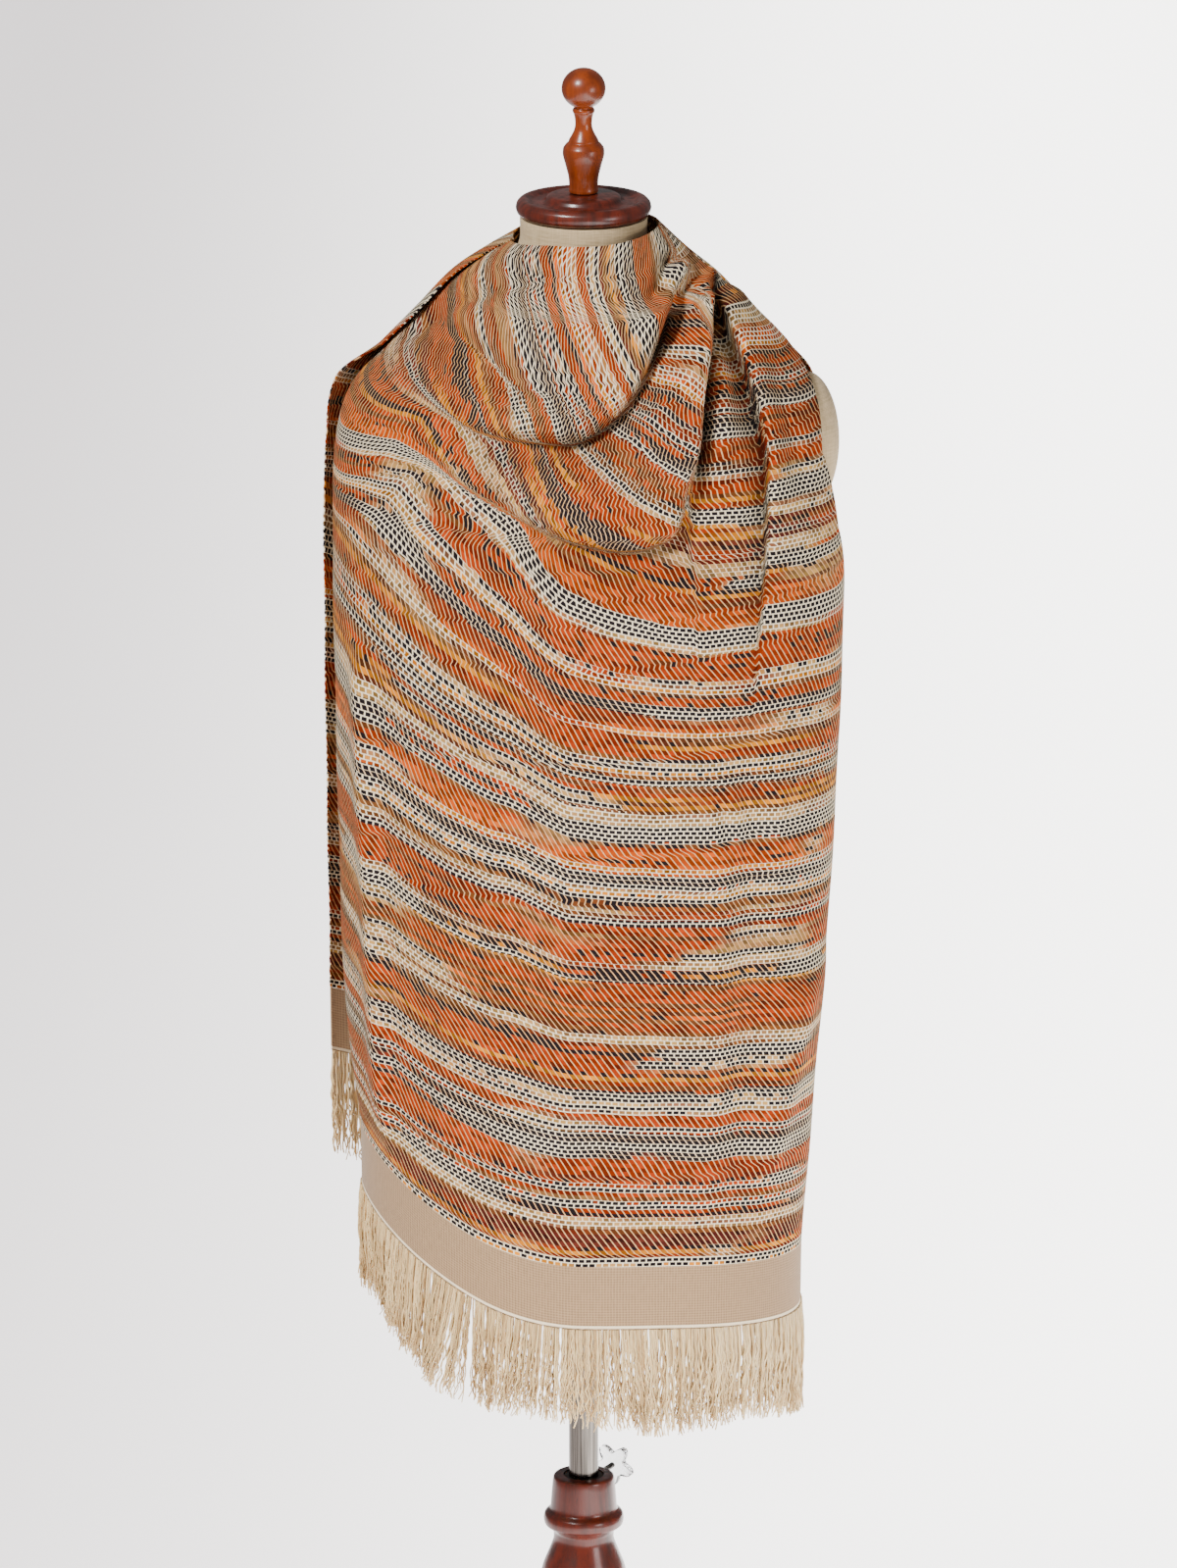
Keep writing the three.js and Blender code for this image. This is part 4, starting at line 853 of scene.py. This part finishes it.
def keptOut(plain, out, push):
    # creases go no deeper than the form that the cloth lies on
    sunk = inForm(plain + out * push[..., None])
    inner, outer = push, np.maximum(push, 0)
    for _ in range(9):
        # halves the way between a depth inside the form and one outside it
        middle = (inner + outer) / 2
        inside = inForm(plain + out * middle[..., None])
        inner, outer = np.where(inside, middle, inner), np.where(inside, outer, middle)
    return np.where(sunk, outer, push)


angle = np.linspace(0, 2 * math.pi, torsoShape["around"], endpoint=False)[None, :]
side, ahead, behind = (alongTable(rings, k, level)[:, None] for k in (1, 2, 3))
power = roundness(side)
x = side * np.sign(np.cos(angle)) * np.abs(np.cos(angle)) ** power
x = np.clip(alongTable(rings, 4, level)[:, None] + x, *torsoShape["armholes"])
y = np.where(np.sin(angle) > 0, behind, ahead) * np.sign(np.sin(angle)) * np.abs(np.sin(angle)) ** power
z = np.broadcast_to(heights[:, None], x.shape)
wall = np.stack([x, y, z], axis=-1)
ends = [np.broadcast_to([0, 0, height], wall[:1].shape) for height in (rings[0, 0], rings[-1, 0])]
wall = np.concatenate([ends[0], wall, ends[1]])
faces = gridFaces(len(wall), torsoShape["around"], wrap=True)
torso = addObject("linen_torso", wall.reshape(-1, 3), faces, linenCover, crease=50, tidy=True)
handIn(torso, "form", "torso")
print("torso made")


# the two stretches of striped cloth

seamGap = 0.22 + clothThickness * 0.1  # from the shoulder's ridge to each stretch that is held there


def serrate(grid, column, sign):
    # weft yarns turn round the free edge, so every other row stands out a little
    reach = np.where(np.arange(len(grid)) % 2 == 0, 0.9, -0.5)[:, None]
    inner = grid[:, column + sign]
    out = grid[:, column] - inner
    out /= np.linalg.norm(out, axis=1, keepdims=True)
    grid[:, column] += out * reach


def makeDrape(name, piece, node):
    plain, grid, place, angle, depth = clothGrid(piece)
    uv = weaveMap(piece, plain, grid, place, angle)
    held = place[:, 0] <= 4
    if piece["gather"] == 0:
        grid[held, 0, 1] = -seamGap
        serrate(grid, -1, -1)
    else:
        # the free left edge swings out from the form, over the first 14 of about 142 degrees
        turnedBy = np.linspace(0, 1, piece["columns"])[None, :] * 142
        grid[..., 0] -= 11 * smooth(place - 4) * (1 - smooth(turnedBy / 14))
        grid[held, -1, 1] = seamGap
        serrate(grid, 0, 1)
    made = shell(name, grid, uv, striped, depth=depth)
    return handIn(made, "form", node), grid, uv


front, frontGrid, frontUv = makeDrape("striped_front", frontDrape, "front_drape")
back, backGrid, backUv = makeDrape("striped_back", backDrape, "back_drape")
print("striped cloth made")


# plain bands at the two ends
bandDepth = 57.3


def hanging(edge, drops):
    # rows of points straight below an edge, leaning in a hundredth of what they hang
    drops = np.asarray(drops, dtype=float)[:, None]
    reach = np.hypot(edge[:, 0], edge[:, 1])[None, :]
    pulled = 1 - 0.01 * drops / reach
    return np.stack([edge[:, 0] * pulled, edge[:, 1] * pulled, edge[:, 2] - drops], axis=-1)


def makeBand(name, grid, uv, node):
    edge = grid[-1]
    drops = np.linspace(0.1, bandDepth, 34)
    points = hanging(edge, drops)
    along = np.broadcast_to(uv[-1, :, 0], drops[:, None].shape[:1] + edge.shape[:1])
    down = np.broadcast_to((bandDepth - drops)[:, None], along.shape)
    made = shell(name, points, np.stack([along, down], axis=-1), cream, 1.2)
    return handIn(made, "form", node)


frontBand = makeBand("front_band", frontGrid, frontUv, "front_end_band")
backBand = makeBand("back_band", backGrid, backUv, "back_end_band")

# fringe

frontFringe = {
    "strands": 1380,
    "length": 94,
    # share of the hem from the right end, lean towards the left in mm, spread in shares
    "leans": [
        [0.06, -5, 0.03], [0.2, 4, 0.05], [0.42, -4, 0.04], [0.56, 9, 0.04], [0.67, 24, 0.035],
        [0.76, 10, 0.04], [0.84, -12, 0.03], [0.93, 6, 0.03],
    ],
}
backFringe = {
    "strands": 900,
    "length": 94,
    "leans": [[0.1, 6, 0.04], [0.3, -8, 0.05], [0.52, 7, 0.05], [0.7, -6, 0.04], [0.9, 5, 0.03]],
}


def makeFringe(name, grid, piece, node):
    edge = hanging(grid[-1], [bandDepth + 0.1])[0]
    step = np.linalg.norm(np.diff(edge, axis=0), axis=1)
    run = np.concatenate([[0], np.cumsum(step)])
    hem = run[-1]
    count, levels, sides = piece["strands"], 25, 3

    def onEdge(s):
        return np.stack([np.interp(s, run, edge[:, k]) for k in range(3)], axis=-1)

    s = np.sort(dice.uniform(1.5, hem - 1.5, count))
    t = np.linspace(0, 1, levels)[None, :]
    # neighbours draw together into uneven tufts
    tufts = np.sort(dice.uniform(0, hem, int(hem / 8)))
    drawn = s + dice.normal(0, 4, count)
    near = tufts[np.abs(drawn[:, None] - tufts[None, :]).argmin(axis=1)]
    pull = dice.uniform(0.0, 0.6, count)[:, None] * dice.choice([0.2, 1.0], (count, 1))
    length = piece["length"] * (0.9 + 0.13 * np.sin(near / 31) * 0.5 + dice.uniform(-0.1, 0.1, count))
    length = np.minimum(length, 99)[:, None]
    lean = sum(a * np.exp(-(((s / hem - at) / w) ** 2)) for at, a, w in piece["leans"])[:, None]
    phase = dice.uniform(0, 2 * math.pi, (count, 2))
    waves = dice.uniform(2.4, 6.0, count)[:, None]
    size = dice.uniform(0.5, 2.1, count)[:, None]
    shift = (near[:, None] - s[:, None]) * pull * smooth(t * 1.3) + lean * t**1.4
    shift = shift + size * t**0.6 * np.sin(2 * math.pi * waves * t + phase[:, :1])
    place = np.clip(s[:, None] + shift, 0.5, hem - 0.5)
    root = onEdge(s)
    at = onEdge(place)
    outward = at[..., :2] / np.linalg.norm(at[..., :2], axis=-1, keepdims=True)
    layer = dice.uniform(-2.6, 2.6, count)[:, None]
    swell = 2.2 * np.sin(math.pi * np.minimum(t * 1.5, 1))
    puff = layer * (0.5 + t) + swell * dice.uniform(0, 1, count)[:, None]
    puff = puff + size * 0.8 * t * np.sin(2 * math.pi * waves * 0.8 * t + phase[:, 1:]) - 0.94 * t
    centre = np.empty((count, levels, 3))
    centre[..., :2] = at[..., :2] + outward * puff[..., None]
    side = np.abs(shift) * 0.5
    fall = np.sqrt(np.maximum((length * t) ** 2 - side**2 * 0.6, 0))
    centre[..., 2] = root[:, None, 2] - fall
    radius = dice.uniform(0.8, 1.4, count)[:, None] * (1 - 0.45 * t**2)
    turn = 2 * math.pi * np.arange(sides) / sides
    ring = np.stack([np.cos(turn), np.sin(turn), np.zeros(sides)], axis=-1)
    corners = (centre[:, :, None] + radius[:, :, None, None] * ring).reshape(-1, 3)
    one = gridFaces(levels, sides, wrap=True)[:, ::-1]
    faces = (one[None] + (np.arange(count) * levels * sides)[:, None, None]).reshape(-1, 4)
    u = np.broadcast_to(np.arange(sides) / sides * 4, (count, levels, sides)) + s[:, None, None]
    v = np.broadcast_to((length * t)[..., None], (count, levels, sides))
    made = addObject(name, corners, faces, yarn, np.stack([u, v], axis=-1).reshape(-1, 2))
    return handIn(made, "form", node)


frontYarns = makeFringe("front_yarns", frontGrid, frontFringe, "front_fringe")
backYarns = makeFringe("back_yarns", backGrid, backFringe, "back_fringe")
print("bands and fringe made")

# padded caps, neck cap and finial

capShape = {"middle": 6, "height": 1288, "out": 184.3, "swell": 28.6, "deep": 42, "tall": 60, "around": 64}
for side, word in ((1, "right"), (-1, "left")):
    # half an egg on the flat of each armhole
    rise = np.linspace(0, math.pi / 2, 24)[:, None]
    around = np.linspace(0, 2 * math.pi, capShape["around"], endpoint=False)[None, :]
    x = capShape["middle"] + side * (capShape["out"] + capShape["swell"] * np.sin(rise) + 0 * around)
    y = capShape["deep"] * np.cos(rise) * np.cos(around)
    z = capShape["height"] + capShape["tall"] * np.cos(rise) * np.sin(around)
    cap = np.stack([x, y, z], axis=-1)
    face = [capShape["middle"] + side * capShape["out"], 0, capShape["height"]]
    cap = np.concatenate([np.broadcast_to(face, cap[:1].shape), cap])
    faces = gridFaces(len(cap), capShape["around"], wrap=True)
    pad = addObject(f"padded_cap_{word}", cap.reshape(-1, 3), faces, linenCover, crease=50, tidy=True)
    handIn(pad, "form", f"shoulder_cap_{word}")

foot = 1485.0
neckCap = turned("turned_neck_cap", [
    [0, foot], [50, foot], [54, foot + 0.8], [57, foot + 4], [58, foot + 8], [57, foot + 12],
    [54, foot + 15], [50, foot + 15.6], [46.5, foot + 14], [44, foot + 12.2], [36, foot + 12.2],
    [33, foot + 14], [31.5, foot + 17], [29, foot + 18.6], [21, foot + 19.4], [14, foot + 20], [0, foot + 20],
], redWood)
handIn(neckCap, "form", "neck_cap")

foot = 1505.3
ball = np.radians(np.linspace(-62, 90, 30))
finial = turned("turned_finial", [
    [0, foot], [12.7, foot], [12.2, foot + 5], [12.8, foot + 14], [15.4, foot + 24], [17.9, foot + 33],
    [17.6, foot + 39], [14.6, foot + 43], [13, foot + 44], [12.6, foot + 46], [10.2, foot + 50],
    [7.8, foot + 55], [7, foot + 60], [7.6, foot + 66], [8.6, foot + 69], [9.4, foot + 70.5],
    [9.4, foot + 72.5], [8, foot + 74], *zip(18.8 * np.cos(ball), foot + 90.5 + 17.6 * np.sin(ball)),
], brownWood)
handIn(finial, "form", "finial")
print("dress form made")

# stand

rod = [[0, 160], [12, 160], [13, 161], [13, 739], [12, 740], [0, 740]]
pole = turned("drawn_pole", rod, plated, turns=0)
handIn(pole, "pole", "pole")

column = turned("turned_column", [
    [17.75, 350], [17.75, 60], [0, 60], [0, 30.3], [60, 30.3], [62, 34], [61, 40], [54, 45], [42, 52],
    [36, 64], [35, 76], [39, 82], [43, 89], [42, 96], [36, 101], [30, 108], [28.5, 122], [30, 145],
    [34, 175], [39, 205], [41, 228], [40, 248], [36.2, 266], [30, 281], [26.3, 291], [26.6, 298],
    [30, 302], [34.5, 305], [35.4, 310], [34.4, 315], [30, 318.5], [29.2, 321], [28.4, 332], [27.4, 344],
    [26.6, 348.6], [25, 350], [17.75, 350],
], redWood, crease=60)
handIn(column, "stand", "column")

base = turned("turned_base", [
    [0, 0], [163, 0], [165, 2], [165, 12], [162, 16], [155, 19], [151, 23], [145, 26], [90, 28],
    [70, 30], [0, 30],
], redWood, segments=128)
handIn(base, "stand", "base")

# clear knob: the radius goes up and down once for each lobe, pinched in at both faces
knobShape = {"radius": 15.5, "lobe": 4, "lobes": 5, "out": 53, "height": 341, "turn": 62.5, "around": 120}
steps = np.array([[0, 0], [0.55, 0], [0.93, 0.3], [1, 1.3], [1, 6.7], [0.93, 7.7], [0.55, 8], [0, 8]])
around = np.linspace(0, 2 * math.pi, knobShape["around"], endpoint=False)[None, :]
radius = steps[:, :1] * (knobShape["radius"] + knobShape["lobe"] * np.cos(knobShape["lobes"] * around))
turn = math.radians(knobShape["turn"])
axis = np.array([math.cos(turn), math.sin(turn), 0])
across = np.array([-math.sin(turn), math.cos(turn), 0])
up = np.array([0, 0, 1.0])
outwardPart = axis * (knobShape["out"] + steps[:, None, 1:])
acrossPart = across * (radius * np.sin(around))[..., None]
upPart = up * (knobShape["height"] - radius * np.cos(around))[..., None]
knobPoints = outwardPart + acrossPart + upPart
faces = gridFaces(len(steps), knobShape["around"], wrap=True)
knob = addObject("clear_knob", knobPoints.reshape(-1, 3), faces, clear, crease=40, tidy=True)
handIn(knob, "clamp", "clamp_knob")

# shapes that stay as they are in the frame
carried = {
    "bottom_plate": redWood,
    "pole_socket": plated,
    "column_sleeve": sleeveBlack,
    "clamp_screw": plated,
}
for node, material in carried.items():
    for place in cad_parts[node].material_slots:
        place.material = material
print("stand made")

# backdrop, light and camera

paper, at = newMaterial("studio_paper")
mottle = at.noise(1.3, 2.0)
# painted light: the paper glows by its own emission, faintly on the left and nearly four times as bright on
# the right
acrossPaper = at.parts()[0].ramp(-0.9, 0.9)
glow = acrossPaper.tint((0.98, 0.92, 0.92, 1.0), (3.7, 3.65, 3.56, 1.0))
paperMaps = {"Base Color": mottle.tint(rgb(222, 217, 217), rgb(230, 226, 225)), "Emission Color": glow}
finishMaterial(paper, paperMaps, {"Roughness": 0.95, "Emission Strength": 1.45})
floorX, floorY = np.meshgrid([-1600.0, 1600.0], [-6000.0, 9000.0])
points = np.stack([floorX, floorY, np.full((2, 2), -0.5)], axis=-1)
backdrop = addObject("studio_backdrop", points.reshape(-1, 3), gridFaces(2, 2), paper)


def softBox(name, place, aim, size, power):
    light = bpy.data.lights.new(name, "AREA")
    light.shape = "RECTANGLE"
    light.size, light.size_y = size
    light.energy = power
    made = bpy.data.objects.new(name, light)
    made.location = place
    made.rotation_euler = (Vector(place) - Vector(aim)).to_track_quat("Z", "Y").to_euler()
    bpy.context.scene.collection.objects.link(made)


softBox("key_box", (-2.3, -2.8, 4.9), (0, 0, 1.2), (1.1, 1.1), 405)
softBox("fill_box", (3.6, -3.4, 1.6), (0, 0, 1.0), (1.6, 1.6), 85)
world = bpy.data.worlds.new("studio_air")
world.use_nodes = True
world.node_tree.nodes["Background"].inputs[0].default_value = rgb(240, 238, 238)
world.node_tree.nodes["Background"].inputs[1].default_value = 0.3
bpy.context.scene.world = world

lens = bpy.data.cameras.new("photo_camera")
lens.lens = 248.67
lens.clip_end = 60
camera = bpy.data.objects.new("photo_camera", lens)
camera.location = (0.0042, -8.9974, 3.5616)
camera.rotation_euler = (math.radians(90 - 16), 0, 0)
bpy.context.scene.collection.objects.link(camera)
bpy.context.scene.camera = camera
print("studio made")
